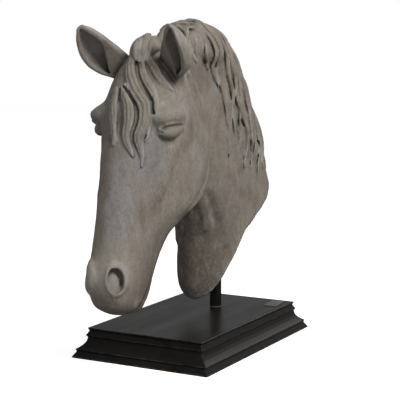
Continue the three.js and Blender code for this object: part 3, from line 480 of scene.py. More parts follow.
class Loft:
    """A solid of smooth sections down one line in the (y, z) plane."""

    STEP = 2
    RING = 96

    def __init__(self, start, lean, side, top_line, bottom_line, depths, widths, cap):
        self.start = np.array(start, float)
        self.along = np.array([-math.sin(lean * RAD), -math.cos(lean * RAD)])
        self.out = side * np.array([self.along[1], -self.along[0]])
        self.cap = cap
        table = np.array(widths, float)
        self.t0, self.t1 = table[0, 0], table[-1, 0]
        places = self.t0 + self.STEP * np.arange(int((self.t1 - self.t0) // self.STEP) + 2)
        top = curve(self.to_pairs(top_line))(places)
        bottom = curve(self.to_pairs(bottom_line))(places)
        columns = [curve(table[:, [0, c + 1]])(places) for c in range(len(depths))]
        self.middle = (top + bottom) / 2
        angles = np.linspace(0, math.pi, self.RING + 1)
        self.rings = np.empty((len(places), self.RING + 1))
        for i, mid in enumerate(self.middle):
            x = np.array([0.0] + [column[i] for column in columns] + [0.0])
            h = mix(top[i], bottom[i], np.array([0.0] + list(depths) + [1.0])) - mid
            angle, radius = np.arctan2(x, h), np.hypot(x, h)
            angle = np.concatenate([[-angle[1]], angle, [2 * math.pi - angle[-2]]])
            radius = np.concatenate([[radius[1]], radius, [radius[-2]]])
            self.rings[i] = curve(np.stack([angle, radius], axis=1))(angles)

    def to_pairs(self, line):
        q = np.array(line, float) - self.start
        return np.stack([q @ self.along, q @ self.out], axis=1)

    def local(self, p):
        q = p[:, 1:] - self.start
        return q @ self.along, q @ self.out

    def world(self, x, t, h):
        flat = self.start + np.multiply.outer(t, self.along) + np.multiply.outer(h, self.out)
        return np.concatenate([np.asarray(x)[..., None], flat], axis=-1)

    def sample(self, t, angle):
        """Radius and middle height at a place, and how steep the surface is there."""
        i, f = step_in((t - self.t0) / self.STEP, len(self.middle))
        j, g = step_in(angle / math.pi * self.RING, self.RING + 1)
        near = mix(self.rings[i, j], self.rings[i, j + 1], g)
        far = mix(self.rings[i + 1, j], self.rings[i + 1, j + 1], g)
        radius = mix(near, far, f)
        middle = mix(self.middle[i], self.middle[i + 1], f)
        turn = (self.rings[i, j + 1] - self.rings[i, j]) / (math.pi / self.RING) / radius
        drift = (self.middle[i + 1] - self.middle[i]) * np.cos(angle)
        climb = (far - near + drift) / self.STEP
        return radius, middle, np.sqrt(1 + turn * turn + climb * climb)

    def place(self, p):
        """Where points lie on the body: t and the angle round from its top."""
        t, h = self.local(p)
        i, f = step_in((t - self.t0) / self.STEP, len(self.middle))
        middle = mix(self.middle[i], self.middle[i + 1], f)
        return t, np.arctan2(p[:, 0], h - middle), h - middle

    def distance(self, p):
        t, angle, height = self.place(p)
        radius, _, slope = self.sample(np.clip(t, self.t0, self.t1), np.abs(angle))
        side = (np.hypot(p[:, 0], height) - radius) / slope
        return blend_max(side, np.maximum(self.t0 - t, t - self.t1), self.cap)

    def surface(self, t, angle, lift):
        radius, middle, _ = self.sample(t, np.abs(angle))
        radius = radius + lift
        return self.world(radius * np.sin(angle), t, middle + radius * np.cos(angle))


head = Loft(
    HEAD_START, HEAD_LEAN, 1, FACE_LINE, JAW_LINE, HEAD_DEPTHS, HEAD_WIDTHS, HEAD_END_ROUNDING
)
neck = Loft(
    NECK_START, NECK_LEAN, -1, CREST_LINE, THROAT_LINE, NECK_DEPTHS, NECK_WIDTHS, NECK_END_ROUNDING
)


def ellipsoid(p, centre, radii):
    q = p - np.array(centre, float)
    radii = np.array(radii, float)
    k0 = np.linalg.norm(q / radii, axis=1)
    k1 = np.linalg.norm(q / (radii * radii), axis=1)
    return k0 * (k0 - 1) / np.maximum(k1, TINY)


def box_distance(p, low, high):
    return np.maximum(low - p, p - high).max(axis=1)


def near_only(p, d, low, high, reach, change):
    """Changes the distances of only those points that a shape in a box can reach."""
    close = np.flatnonzero(box_distance(p, low, high) < d + reach)
    if len(close):
        d[close] = change(p[close], d[close])


def tube_distance(p, points):
    """Distance to a round tube through points (x, y, z, radius)."""
    best = np.full(len(p), np.inf)
    for a, b in zip(points[:-1], points[1:]):
        run = b[:3] - a[:3]
        s = np.clip((p - a[:3]) @ run / (run @ run), 0, 1)
        apart = np.linalg.norm(p - a[:3] - s[:, None] * run, axis=1)
        best = np.minimum(best, apart - mix(a[3], b[3], s))
    return best


def smooth_route(points, count):
    """More points on a smooth route through the given ones."""
    points = np.array(points, float)
    share = np.linspace(0, 1, len(points))
    fine = np.linspace(0, 1, count)
    return np.stack([curve(np.stack([share, column], axis=1))(fine) for column in points.T], axis=1)


def add_tube(p, d, points, blend, sign=1):
    """Joins a tube to the body, or with sign -1 cuts it out as a groove."""
    route = smooth_route(points, TUBE_POINTS)
    low = (route[:, :3] - route[:, 3:]).min(axis=0)
    high = (route[:, :3] + route[:, 3:]).max(axis=0)

    def change(q, dist):
        tube = tube_distance(q, route)
        return blend_min(dist, tube, blend) if sign > 0 else blend_max(dist, -tube, blend)

    reach = blend if sign > 0 else blend + 2 * route[:, 3].max() + CUT_REACH
    near_only(p, d, low, high, reach, change)


def make_ear():
    """Makes the distance to an ear: a leaf-shaped cup, hollow on the side that it faces."""
    base, tip = np.array(EAR_BASE, float), np.array(EAR_TIP, float)
    length = np.linalg.norm(tip - base)
    along = (tip - base) / length
    aim = np.array([math.sin(EAR_FACING * RAD), -math.cos(EAR_FACING * RAD), 0])
    out = unit(aim - along * (aim @ along))
    across = np.cross(along, out)
    width = curve(EAR_WIDTHS)
    flap_edge = curve(EAR_FLAP)

    def distance(p):
        q = p - base
        s = q @ along / length
        inner = np.clip(s, 0, 1)
        beyond = np.maximum(-s - EAR_ROOT, s - 1) * length
        w = width(inner)
        b = q @ across - EAR_BOW * np.sin(math.pi * inner)
        f = q @ out - EAR_CURL * s * s
        outer = (np.hypot(b / w, f / (EAR_DEPTH * w)) - 1) * w * EAR_DEPTH
        shell = np.maximum(np.abs(outer + EAR_WALL / 2) - EAR_WALL / 2, beyond)
        flap = np.maximum(np.maximum(outer, beyond), b - flap_edge(inner) * w)
        return blend_max(blend_min(shell, flap, FLAP_BLEND), f - EAR_FRONT * w, EAR_EDGE_BLEND)

    return distance


ear = make_ear()


def make_nostril():
    """Makes the distances to a nostril's mound and to its hole."""
    out, lean = unit(NOSTRIL_FACING), np.array(NOSTRIL_LEAN, float)
    up = unit(lean - out * (lean @ out))
    across = np.cross(up, out)

    def distances(p, near):
        shift, rise, wide, high = np.where(near[:, None], NEAR_HOLE, FAR_HOLE).T
        q = p - np.array(NOSTRIL_MIDDLE, float)
        local = np.stack([q @ across, q @ up, q @ out], axis=1)
        mound = ellipsoid(local, (0, 0, 0), NOSTRIL_MOUND)
        local[:, 0] -= shift
        local[:, 1] -= rise
        radial = (np.hypot(local[:, 0] / wide, local[:, 1] / high) - 1) * wide
        hole = np.maximum(radial, np.abs(local[:, 2]) - NOSTRIL_DEPTH)
        fold = ellipsoid(local, NOSTRIL_FOLD, NOSTRIL_FOLD_RADII)
        return mound, blend_max(hole, -fold, HOLE_BLEND)

    return distances


nostril = make_nostril()


def lock_width(u, root):
    """Width of a lock at a share of its length, as a share of its widest."""
    swell = np.sin(math.pi * mix(root, 1, u)) ** LOCK_FULLNESS
    return mix(LOCK_TIP_WIDTH, 1, swell)


class Lock:
    """One lock laid along a body, or a gap between locks, pointed at its tip."""

    def __init__(self, body, row, depth, strands, flatness=LOCK_FLATNESS, root=LOCK_ROOT):
        half_width, path = row[0], row[1:]
        self.strands = strands
        t, angle = smooth_route(path, LOCK_SEGMENTS + 1).T
        self.wide = half_width * lock_width(np.linspace(0, 1, LOCK_SEGMENTS + 1), root)
        self.tall = self.wide * flatness
        lift = LOCK_LIFT + depth(t, angle)
        self.points = body.surface(t, angle * RAD, lift)
        out = unit(body.surface(t, angle * RAD, lift + 1) - self.points)
        self.run = np.diff(self.points, axis=0)
        self.forward = unit(self.run)
        mean = out[:-1] + out[1:]
        self.up = unit(mean - self.forward * (mean * self.forward).sum(axis=1, keepdims=True))
        self.across = np.cross(self.forward, self.up)
        self.low = self.points.min(axis=0) - half_width
        self.high = self.points.max(axis=0) + half_width

    def link_distance(self, p, i):
        q = p - self.points[i]
        s = np.clip(q @ self.run[i] / (self.run[i] @ self.run[i]), 0, 1)
        q = q - s[:, None] * self.run[i]
        wide, tall = mix(self.wide[i], self.wide[i + 1], s), mix(self.tall[i], self.tall[i + 1], s)
        f, n, w = q @ self.forward[i], q @ self.up[i], q @ self.across[i]
        k0 = np.sqrt((w / wide) ** 2 + (n / tall) ** 2 + (f / tall) ** 2)
        k1 = np.sqrt((w / wide ** 2) ** 2 + (n / tall ** 2) ** 2 + (f / tall ** 2) ** 2)
        d = k0 * (k0 - 1) / np.maximum(k1, TINY)
        side = np.clip(w / wide, -1, 1)
        ridges = np.abs(np.sin(math.pi * self.strands * (side + 1) / 2))
        return d + STRAND_DEPTH * wide * (1 - ridges) * (1 - side * side)

    def reach(self, p, d):
        """Distance to the lock at the points near it, and endless elsewhere."""
        best = np.full(len(p), np.inf)
        for i in range(LOCK_SEGMENTS):
            width = max(self.wide[i], self.wide[i + 1])
            low = np.minimum(self.points[i], self.points[i + 1]) - width
            high = np.maximum(self.points[i], self.points[i + 1]) + width
            close = np.flatnonzero(box_distance(p, low, high) < d + LOCK_BLEND)
            if len(close):
                best[close] = np.minimum(best[close], self.link_distance(p[close], i))
        return best

    def join(self, p, d):
        return blend_min(d, np.minimum(self.reach(p, d), d + LOCK_BLEND), LOCK_BLEND)

    def carve(self, p, d):
        best = self.reach(p, np.full(len(p), GAP_REACH))
        return blend_max(d, np.maximum(-best, d - GAP_BLEND), GAP_BLEND)

    def add_to(self, p, d):
        near_only(p, d, self.low, self.high, LOCK_BLEND, self.join)

    def cut_from(self, p, d):
        near_only(p, d, self.low, self.high, GAP_REACH, self.carve)


def make_flow():
    """Makes the table of how far across its locks a place in the mane lies, and how wide
    the locks are there."""
    t = np.arange(MANE_START - FLOW_MARGIN, MANE_END + FLOW_MARGIN, FLOW_STEP)
    angles = np.arange(PARTING - 1, FLOW_EDGE)
    lines = []
    for row in MANE[:LEFT_LOCKS]:
        route = smooth_route(row[1:], FLOW_POINTS)
        slopes = np.gradient(route[:, 1], route[:, 0])
        line = np.interp(t, route[:, 0], route[:, 1])
        line += slopes[0] * np.minimum(t - route[0, 0], 0)
        line += slopes[-1] * np.maximum(t - route[-1, 0], 0)
        lines.append(line)
    count = np.arange(len(lines))
    table = np.empty((len(t), len(angles)))
    for i, column in enumerate(np.array(lines).T):
        falling = np.minimum.accumulate(column) - LEAST_FALL * count
        table[i] = np.interp(-angles, -falling, count)
    steepness = np.hypot(*np.gradient(table, FLOW_STEP, 1.0))
    spacing = 1 / np.maximum(steepness, LEAST_STEEPNESS)

    def flow(place, degrees):
        i, f = step_in((place - t[0]) / FLOW_STEP, len(t))
        j, g = step_in(np.abs(degrees - PARTING), len(angles))
        found = []
        for values in (table, spacing):
            near = mix(values[i, j], values[i, j + 1], g)
            found.append(mix(near, mix(values[i + 1, j], values[i + 1, j + 1], g), f))
        return found

    return flow


def strands(t, degrees):
    """Depth of the grooves between the strands of the mane."""
    across, spacing = flow(t, degrees)
    sway, length, turn = STRAND_SWAY
    across = across + sway * np.sin(t / length + turn * across)
    finest, fine, broad, broadest = STRAND_WIDTHS
    depth = 0
    for count in STRAND_COUNTS:
        wide = spacing / count
        groove = np.minimum(STRAND_GROOVE * wide, DEEPEST_GROOVE)
        groove *= smooth((wide - finest) / (fine - finest))
        groove *= smooth((broadest - wide) / (broadest - broad))
        depth = depth + groove * (1 - np.abs(np.cos(math.pi * count * across)))
    inside = smooth((mane_edge(t) - degrees) / STRAND_FADE)
    inside *= smooth((degrees - MANE_RIGHT_EDGE) / STRAND_FADE)
    inside *= smooth((t - MANE_START) / STRAND_FADE) * smooth((MANE_END - t) / STRAND_END_FADE)
    return depth * inside


def mane_depth(t, angle):
    """Thickness of the hair under the locks, which lies over the horse's left side."""
    left = smooth((mane_edge(t) - angle) / MANE_SIDE_TAPER)
    right = smooth((angle - MANE_RIGHT_EDGE) / MANE_SIDE_TAPER)
    above = smooth((t - MANE_START) / MANE_START_TAPER)
    below = smooth((MANE_END - t) / MANE_END_TAPER)
    return MANE_DEPTH * left * right * above * below


def level(lift):
    """A thickness that is the same everywhere."""
    return lambda t, angle: np.full(len(t), float(lift))


cut_line = curve(CUT_LINE)
mane_edge = curve(MANE_LEFT_EDGE)
flow = make_flow()
forelock = [Lock(head, row, level(0), FORELOCK_STRANDS) for row in FORELOCK]
gaps = [Lock(head, row, level(GAP_LIFT), 0, GAP_FLATNESS, 0) for row in FORELOCK_GAPS]
mane = [Lock(neck, row, mane_depth, MANE_STRANDS) for row in MANE]


def lumps(p, length, depth):
    """Gentle unevenness of a hand-modelled surface, as a sum of crossing waves."""
    first, second, third, fourth = (
        np.sin(2 * math.pi / length * (p @ np.array([x, y, z])) + start) for x, y, z, start in WAVES
    )
    return depth * (first + second + third * fourth) / 3


def neck_field(p, t, degrees):
    """Distance to the neck with its mane and the chiselled, cut underside."""
    cut = (cut_line(p[:, 1]) - p[:, 2]) * math.cos(CUT_SLOPE * RAD)
    side = neck.distance(p) - mane_depth(t, degrees)
    chiselled = smooth((cut + CHISEL_REACH) / CHISEL_REACH)
    return blend_max(side, cut, CUT_ROUNDING) + chiselled * lumps(p, *CHISEL_MARKS)


def add_face(even, near, d):
    """Adds the brows, the eyes, the nostrils and the mouth to the head."""
    d = blend_min(d, ellipsoid(even, BROW_MIDDLE, BROW_RADII), BROW_BLEND)
    add_tube(even, d, EYEBALL, EYE_BLEND)
    add_tube(even, d, UPPER_LID, LID_BLEND)
    for crease in LID_CREASES:
        add_tube(even, d, crease, FINE_BLEND, sign=-1)
    add_tube(even, d, EYE_CORNER, FINE_BLEND, sign=-1)
    for wrinkle in BROW_WRINKLES:
        add_tube(even, d, wrinkle, FINE_BLEND)
    mound, hole = nostril(even, near)
    d = blend_min(d, mound, MOUND_BLEND)
    d = blend_max(d, -hole, HOLE_BLEND)
    add_tube(even, d, MOUTH, MOUTH_BLEND, sign=-1)
    return d


def sculpture_field(p):
    """Distance to the surface of the whole sculpture, negative inside."""
    even = np.concatenate([np.abs(p[:, :1]), p[:, 1:]], axis=1)
    t, angle, _ = neck.place(p)
    degrees = angle / RAD
    d = add_face(even, p[:, 0] > 0, head.distance(even))
    d = blend_min(d, neck_field(p, t, degrees), CHEEK_BLEND)
    for ridge in SOFT_RIDGES:
        add_tube(even, d, ridge, RIDGE_BLEND)
    add_tube(even, d, CHEEK_HOLLOW, HOLLOW_BLEND, sign=-1)
    for roll in TUFT_ROLLS:
        add_tube(p, d, roll, TUFT_BLEND)
    for lock in mane:
        lock.add_to(p, d)
    d += strands(t, degrees)
    for strand in TUFT_STRANDS:
        add_tube(p, d, strand, TUFT_BLEND)
    for lock in forelock:
        lock.add_to(p, d)
    for gap in gaps:
        gap.cut_from(p, d)
    d = blend_min(d, ear(even), EAR_BLEND)
    return d + lumps(p, *BROAD_LUMPS) + lumps(p, *SMALL_LUMPS)


def doubled(values):
    """The same grid with a value half way between each two."""
    for axis in range(3):
        rows = np.moveaxis(values, axis, 0)
        fine = np.empty((2 * rows.shape[0] - 1,) + rows.shape[1:], np.float32)
        fine[::2] = rows
        fine[1::2] = (rows[:-1] + rows[1:]) / 2
        values = np.moveaxis(fine, 0, axis)
    return np.ascontiguousarray(values)


def fill_grid(field, low, high, step):
    """Distances on a grid, worked out finely only near the surface."""
    coarse = COARSE_STEPS
    counts = np.ceil((high - low) / (step * coarse)).astype(int) + 1
    index = np.indices(counts).reshape(3, -1).T
    values = field(low + index * step * coarse).reshape(counts).astype(np.float32)
    while coarse > 1:
        coarse //= 2
        values = doubled(values)
        near = np.argwhere(np.abs(values) < NEAR_BAND * step * coarse)
        values[tuple(near.T)] = field(low + near * step * coarse)
    return values


CORNERS = np.array([(i, j, k) for i in (0, 1) for j in (0, 1) for k in (0, 1)])


def surface_net(values, low, step):
    """One corner in each cell that the surface crosses, joined into four-sided faces."""
    inside = values < 0
    last = [n - 1 for n in values.shape]
    count = sum(
        inside[i:last[0] + i, j:last[1] + j, k:last[2] + k].astype(np.int8) for i, j, k in CORNERS
    )
    cells = np.argwhere((count > 0) & (count < 8))
    number = np.full(count.shape, -1, np.int32)
    number[tuple(cells.T)] = np.arange(len(cells))
    total = np.zeros((len(cells), 3))
    crossings = np.zeros(len(cells))
    for axis in range(3):
        step_on = np.eye(3, dtype=int)[axis]
        for corner in CORNERS[CORNERS[:, axis] == 0]:
            near = values[tuple((cells + corner).T)]
            far = values[tuple((cells + corner + step_on).T)]
            crossed = (near < 0) != (far < 0)
            share = near[crossed] / (near[crossed] - far[crossed])
            total[crossed] += corner + share[:, None] * step_on
            crossings[crossed] += 1
    points = low + (cells + total / crossings[:, None]) * step
    quads = []
    for axis in range(3):
        u, v = np.eye(3, dtype=int)[[(axis + 1) % 3, (axis + 2) % 3]]
        front = np.take(inside, range(1, inside.shape[axis]), axis)
        back = np.take(inside, range(inside.shape[axis] - 1), axis)
        starts = np.argwhere(front != back)
        out = inside[tuple(starts.T)]
        ring = [number[tuple((starts - a).T)] for a in (u + v, v, 0 * u, u)]
        ring = np.stack(ring, axis=1)
        quads.append(np.where(out[:, None], ring, ring[:, ::-1]))
    return points, np.concatenate(quads)


def new_object(name, points, faces):
    mesh = bpy.data.meshes.new(name)
    mesh.from_pydata(points.tolist(), [], [list(map(int, face)) for face in faces])
    mesh.update()
    piece = bpy.data.objects.new(name, mesh)
    bpy.context.scene.collection.objects.link(piece)
    return piece


def applied(piece):
    """Makes the piece's modifiers part of its mesh."""
    graph = bpy.context.evaluated_depsgraph_get()
    made = bpy.data.meshes.new_from_object(piece.evaluated_get(graph))
    piece.modifiers.clear()
    old = piece.data
    piece.data = made
    bpy.data.meshes.remove(old)


def corners_of(mesh, kind="co"):
    """The places of a mesh's corners, or with the kind normal the ways that they face."""
    flat = np.empty(len(mesh.vertices) * 3)
    mesh.vertices.foreach_get(kind, flat)
    return flat.reshape(-1, 3)


def set_attribute(mesh, name, values):
    made = mesh.attributes.new(name, "FLOAT", "POINT")
    made.data.foreach_set("value", np.clip(values, 0, 1).astype(np.float32))


def make_sculpture():
    low, high = (np.array(corner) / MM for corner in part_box("horse_head"))
    margin = 2 * GRID
    values = fill_grid(sculpture_field, low - margin, high + margin, GRID)
    points, quads = surface_net(values, low - margin, GRID)
    piece = new_object("horse_head_carved", points * MM, quads)
    thin = piece.modifiers.new("thin", "DECIMATE")
    thin.ratio = min(1, SCULPTURE_TRIANGLES / (2 * len(quads)))
    applied(piece)
    kept = np.clip(corners_of(piece.data), low * MM, high * MM)
    piece.data.vertices.foreach_set("co", kept.ravel())
    piece.data.shade_smooth()
    mark_sculpture(piece)
    return piece


def fading(distance, reach):
    """1 close by, and 0 where the reach ends."""
    end, width = reach
    return smooth((end - distance) / width)


def rising(value, rise):
    """0 up to the rise, and 1 behind it."""
    start, width = rise
    return smooth((value - start) / width)


def in_patch(points, patch):
    middle, radii = np.array(patch, float)
    return fading(np.linalg.norm((points - middle) / radii, axis=1), PATCH_EDGE)


def distance_from(points, place):
    return np.linalg.norm(points - np.array(place, float), axis=1)


def mark_sculpture(piece):
    """Marks where painted shade falls in hollows, along the mouth slit and under the throat, where
    ridges and two face patches get a painted highlight, and where the colour is tinted.
    """
    points, normals = corners_of(piece.data) / MM, corners_of(piece.data, "normal")
    even = np.concatenate([np.abs(points[:, :1]), points[:, 1:]], axis=1)
    # Painted shade: darker the more the surface is closed in a little way out along its normal
    hollow = sum(1 - sculpture_field(points + normals * reach) / reach for reach in HOLLOW_REACHES)
    # Rubbed wear and painted highlight: lighter the more the surface stands out
    ridge = sum(1 + sculpture_field(points - normals * reach) / reach for reach in RIDGE_REACHES)
    muzzle = fading(distance_from(points, MUZZLE_MIDDLE), MUZZLE_REACH)
    mouth = tube_distance(even, smooth_route(MOUTH, TUBE_POINTS))
    t, angle, _ = neck.place(points)
    steep = normals[:, 2] < ROUGH_STEEPNESS
    marks = {
        # Painted shade in hollows and painted highlight on ridges, both weaker on the muzzle
        "hollow": hollow / len(HOLLOW_REACHES) * mix(1, MUZZLE_HOLLOWS, muzzle),
        "ridge": ridge * mix(1, MUZZLE_RIDGES, muzzle),
        "muzzle": muzzle,
        "nostril": fading(distance_from(even, NOSTRIL_MIDDLE), NOSTRIL_REACH),
        # Painted shade along the mouth slit
        "slit": fading(mouth, SLIT_REACH),
        # Painted shade under the lower neck's throat side
        "throat_shade": rising(np.abs(angle) / RAD, THROAT_ANGLE_RISE) * rising(t, THROAT_PLACE_RISE),
        "rough": rising(cut_line(points[:, 1]) - points[:, 2], ROUGH_RISE) * steep,
        # Painted cool highlight below the eye and down the nose
        "cool_highlight": np.maximum(in_patch(points, FACE_PATCH), in_patch(points, NOSE_PATCH)),
    }
    for name, values in marks.items():
        set_attribute(piece.data, name, values)


class Graph:
    """Short ways to build a material's nodes."""

    def __init__(self, name, roughness, metallic=0.0, gloss=0.2):
        self.material = bpy.data.materials.new(name)
        self.material.use_nodes = True
        self.tree = self.material.node_tree
        self.shader = self.tree.nodes["Principled BSDF"]
        self.shader.inputs["Roughness"].default_value = roughness
        self.shader.inputs["Metallic"].default_value = metallic
        self.shader.inputs["Specular IOR Level"].default_value = gloss
        self.coordinates = self.tree.nodes.new("ShaderNodeTexCoord").outputs["Object"]

    def link(self, source, socket):
        self.tree.links.new(source, socket)

    def noise(self, scale, detail=4, stretch=(1, 1, 1)):
        mapping = self.tree.nodes.new("ShaderNodeMapping")
        mapping.inputs["Scale"].default_value = stretch
        self.link(self.coordinates, mapping.inputs["Vector"])
        made = self.tree.nodes.new("ShaderNodeTexNoise")
        made.inputs["Scale"].default_value = scale
        made.inputs["Detail"].default_value = detail
        self.link(mapping.outputs["Vector"], made.inputs["Vector"])
        return made.outputs["Fac"]

    def attribute(self, name):
        made = self.tree.nodes.new("ShaderNodeAttribute")
        made.attribute_name = name
        return made.outputs["Fac"]

    def range(self, source, low, high, start=0.0, end=1.0):
        made = self.tree.nodes.new("ShaderNodeMapRange")
        made.inputs["From Min"].default_value = low
        made.inputs["From Max"].default_value = high
        made.inputs["To Min"].default_value = start
        made.inputs["To Max"].default_value = end
        self.link(source, made.inputs["Value"])
        return made.outputs["Result"]

    def product(self, a, b):
        made = self.tree.nodes.new("ShaderNodeMath")
        made.operation = "MULTIPLY"
        self.link(a, made.inputs[0])
        self.link(b, made.inputs[1])
        return made.outputs["Value"]

    def mixed(self, factor, a, b):
        made = self.tree.nodes.new("ShaderNodeMix")
        made.data_type = "RGBA"
        self.link(factor, made.inputs["Factor"])
        for socket, colour in ((made.inputs[6], a), (made.inputs[7], b)):
            if isinstance(colour, tuple):
                socket.default_value = colour + (1.0,)
            else:
                self.link(colour, socket)
        return made.outputs[2]

    def layered(self, colour, layers):
        """Lays colours over the first one. A layer is its pattern, the pattern's values
        where it starts and where it is full, how strong it is, and its colour."""
        for source, low, high, strength, tone in layers:
            colour = self.mixed(self.range(source, low, high, 0, strength), colour, tone)
        self.link(colour, self.shader.inputs["Base Color"])

    def bump(self, height, distance):
        made = self.tree.nodes.new("ShaderNodeBump")
        made.inputs["Distance"].default_value = distance
        self.link(height, made.inputs["Height"])
        self.link(made.outputs["Normal"], self.shader.inputs["Normal"])


def stone_material():
    g = Graph("cast stone", 0.75)
    broad = g.noise(9, 5)
    patches = g.range(g.noise(22, 6), 0.42, 0.6)
    patches = g.product(patches, g.range(g.noise(31, 3), 0.35, 0.65, 0, 0.7))
    streaks = g.noise(44, 7, (1.4, 1.4, 0.6))
    fine = g.noise(240, 4, (1.3, 1.3, 0.7))
    specks = g.product(g.attribute("rough"), g.range(g.noise(330, 3), 0.54, 0.66))
    # Rubbed wear and painted highlight on the ridges, broken by the streaks
    ridges = g.range(g.attribute("ridge"), 0.25, 0.9)
    rubbed_and_highlit = g.product(ridges, g.range(streaks, 0.35, 0.62, 0.15, 1))
    g.layered(TAUPE, [
        (broad, 0.4, 0.62, 1, MAUVE),
        (patches, 0, 1, 1, BROWN),
        (g.noise(14, 4, (1, 1, 0.5)), 0.5, 0.7, 0.7, GREEN_GREY),
        (g.attribute("muzzle"), 0, 1, 0.75, MUZZLE_TAUPE),
        # Painted shade on the throat
        (g.attribute("throat_shade"), 0, 1, 0.8, THROAT_SHADE),
        # Painted cool highlight
        (g.attribute("cool_highlight"), 0, 1, 0.6, BLUE_GREY_HIGHLIGHT),
        (streaks, 0.52, 0.75, 0.4, COOL_GREY),
        (streaks, 0.48, 0.3, 0.35, BROWN),
        (fine, 0.5, 0.75, 0.22, COOL_GREY),
        (fine, 0.5, 0.25, 0.25, DARK_FLECK_AND_SHADE),
        (specks, 0, 1, 0.75, COOL_GREY),
        (g.attribute("nostril"), 0, 1, 0.35, COOL_GREY),
        # Rubbed wear and painted highlight on the ridges
        (rubbed_and_highlit, 0, 1, 0.75, COOL_GREY),
        # Painted shade in the hollows
        (g.attribute("hollow"), 0.22, 0.75, 0.85, DARK_FLECK_AND_SHADE),
        # Painted shade along the mouth slit
        (g.attribute("slit"), 0, 1, 0.85, DARK_FLECK_AND_SHADE),
    ])
    g.link(g.range(streaks, 0.3, 0.7, 0.66, 0.84), g.shader.inputs["Roughness"])
    g.bump(g.noise(140, 6, (1, 1, 0.45)), 0.001)
    return g.material


def wood_material():
    g = Graph("black wood", 0.4, gloss=0.14)
    grain = g.noise(24, 6, (1, 0.12, 1))
    # Lighter lines along the lips: wear and a painted highlight
    wear_and_sheen = g.product(g.attribute("wear_and_sheen"), g.range(g.noise(70, 5), 0.35, 0.6))
    g.layered(WOOD_BLACK, [(grain, 0.35, 0.65, 1, WOOD_GREY), (wear_and_sheen, 0, 1, 0.75, WOOD_WEAR_AND_SHEEN)])
    g.link(g.range(grain, 0.3, 0.7, 0.3, 0.42), g.shader.inputs["Roughness"])
    g.bump(grain, 0.0004)
    return g.material


def rod_material():
    g = Graph("black paint", 0.4, gloss=0.12)
    marks = g.noise(90, 5, (1, 1, 0.2))
    wear_and_sheen = g.attribute("wear_and_sheen")
    g.layered(ROD_BLACK, [(marks, 0.4, 0.65, 1, ROD_GREY), (wear_and_sheen, 0, 1, 0.7, ROD_WORN)])
    g.bump(marks, 0.0002)
    return g.material


def plate_material():
    g = Graph("pewter", 0.5, 0.6, 0.3)
    marks = g.noise(160, 5)
    wear_and_sheen = g.attribute("wear_and_sheen")
    g.layered(PEWTER_DARK, [(marks, 0.35, 0.65, 1, PEWTER_LIGHT), (wear_and_sheen, 0, 1, 0.8, PEWTER_WORN)])
    g.bump(marks, 0.0001)
    return g.material


def rounded_line(points, radius, marked):
    """The line with each inner corner replaced by a short curve, and where it gets wear and a
    painted highlight.
    """
    points = np.array(points, float)
    made, wear_and_sheen = [points[0]], [0.0]
    for i, (before, corner, after) in enumerate(zip(points[:-2], points[1:-1], points[2:]), 1):
        back, on = before - corner, after - corner
        a = corner + unit(back) * min(radius, LONGEST_ROUNDING * np.linalg.norm(back))
        b = corner + unit(on) * min(radius, LONGEST_ROUNDING * np.linalg.norm(on))
        for s in np.linspace(0, 1, ROUNDING_STEPS):
            made.append(a * (1 - s) ** 2 + 2 * corner * s * (1 - s) + b * s * s)
            wear_and_sheen.append(float(i in marked and 0 < s < 1))
    made.append(points[-1])
    wear_and_sheen.append(0.0)
    return np.array(made), np.array(wear_and_sheen)


def rounded_rectangle(half_x, half_y, radius):
    ring = []
    for quarter, (sx, sy) in enumerate(((1, 1), (-1, 1), (-1, -1), (1, -1))):
        for angle in np.linspace(quarter * 90, quarter * 90 + 90, ROUNDING_STEPS) * RAD:
            x = sx * (half_x - radius) + radius * math.cos(angle)
            y = sy * (half_y - radius) + radius * math.sin(angle)
            ring.append((x, y))
    return ring


def make_plinth():
    low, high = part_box("plinth")
    height = (high[2] - low[2]) / MM
    profile = [(out * PLINTH_FLARE, depth * height) for out, depth in MOULDING]
    profile, wear_and_sheen = rounded_line([(-TOP_BORDER, 0)] + profile, EDGE_ROUNDING, SHEEN_AND_WEAR_CORNERS)
    rings = []
    for out, depth in profile:
        ring = rounded_rectangle(PLINTH_TOP[0] / 2 + out, PLINTH_TOP[1] / 2 + out, CORNER_ROUNDING)
        rings.append([(x, y, height - depth) for x, y in ring])
    piece = ringed_object("plinth_body", rings)
    # Wear and a painted highlight along the lips
    set_attribute(piece.data, "wear_and_sheen", np.repeat(wear_and_sheen, len(rings[0])))
    return piece


def ringed_object(name, rings):
    """A closed object of rings of equal length, flat at both ends."""
    size = len(rings[0])
    faces = [list(range(size))]
    for r in range(len(rings) - 1):
        for i in range(size):
            j = (i + 1) % size
            faces.append([r * size + i, (r + 1) * size + i, (r + 1) * size + j, r * size + j])
    faces.append([(len(rings) - 1) * size + i for i in reversed(range(size))])
    points = np.array(rings).reshape(-1, 3)
    return new_object(name, points * MM, faces)


def make_rod():
    low, high = (np.array(corner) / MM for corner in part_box("rod"))
    centre, radius = (low + high) / 2, (high[0] - low[0]) / 2
    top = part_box("plinth")[1][2] / MM
    turn = np.linspace(0, 2 * math.pi, ROD_SIDES, endpoint=False)
    x, y = centre[0] + radius * np.cos(turn), centre[1] + radius * np.sin(turn)
    heights = [high[2], *(top + rise for rise in reversed(ROD_RING)), top, low[2]]
    rings = [np.stack([x, y, np.full(ROD_SIDES, z)], axis=1) for z in heights]
    piece = ringed_object("rod_bar", rings)
    set_attribute(piece.data, "wear_and_sheen", np.repeat(ROD_WEAR, ROD_SIDES))
    return piece


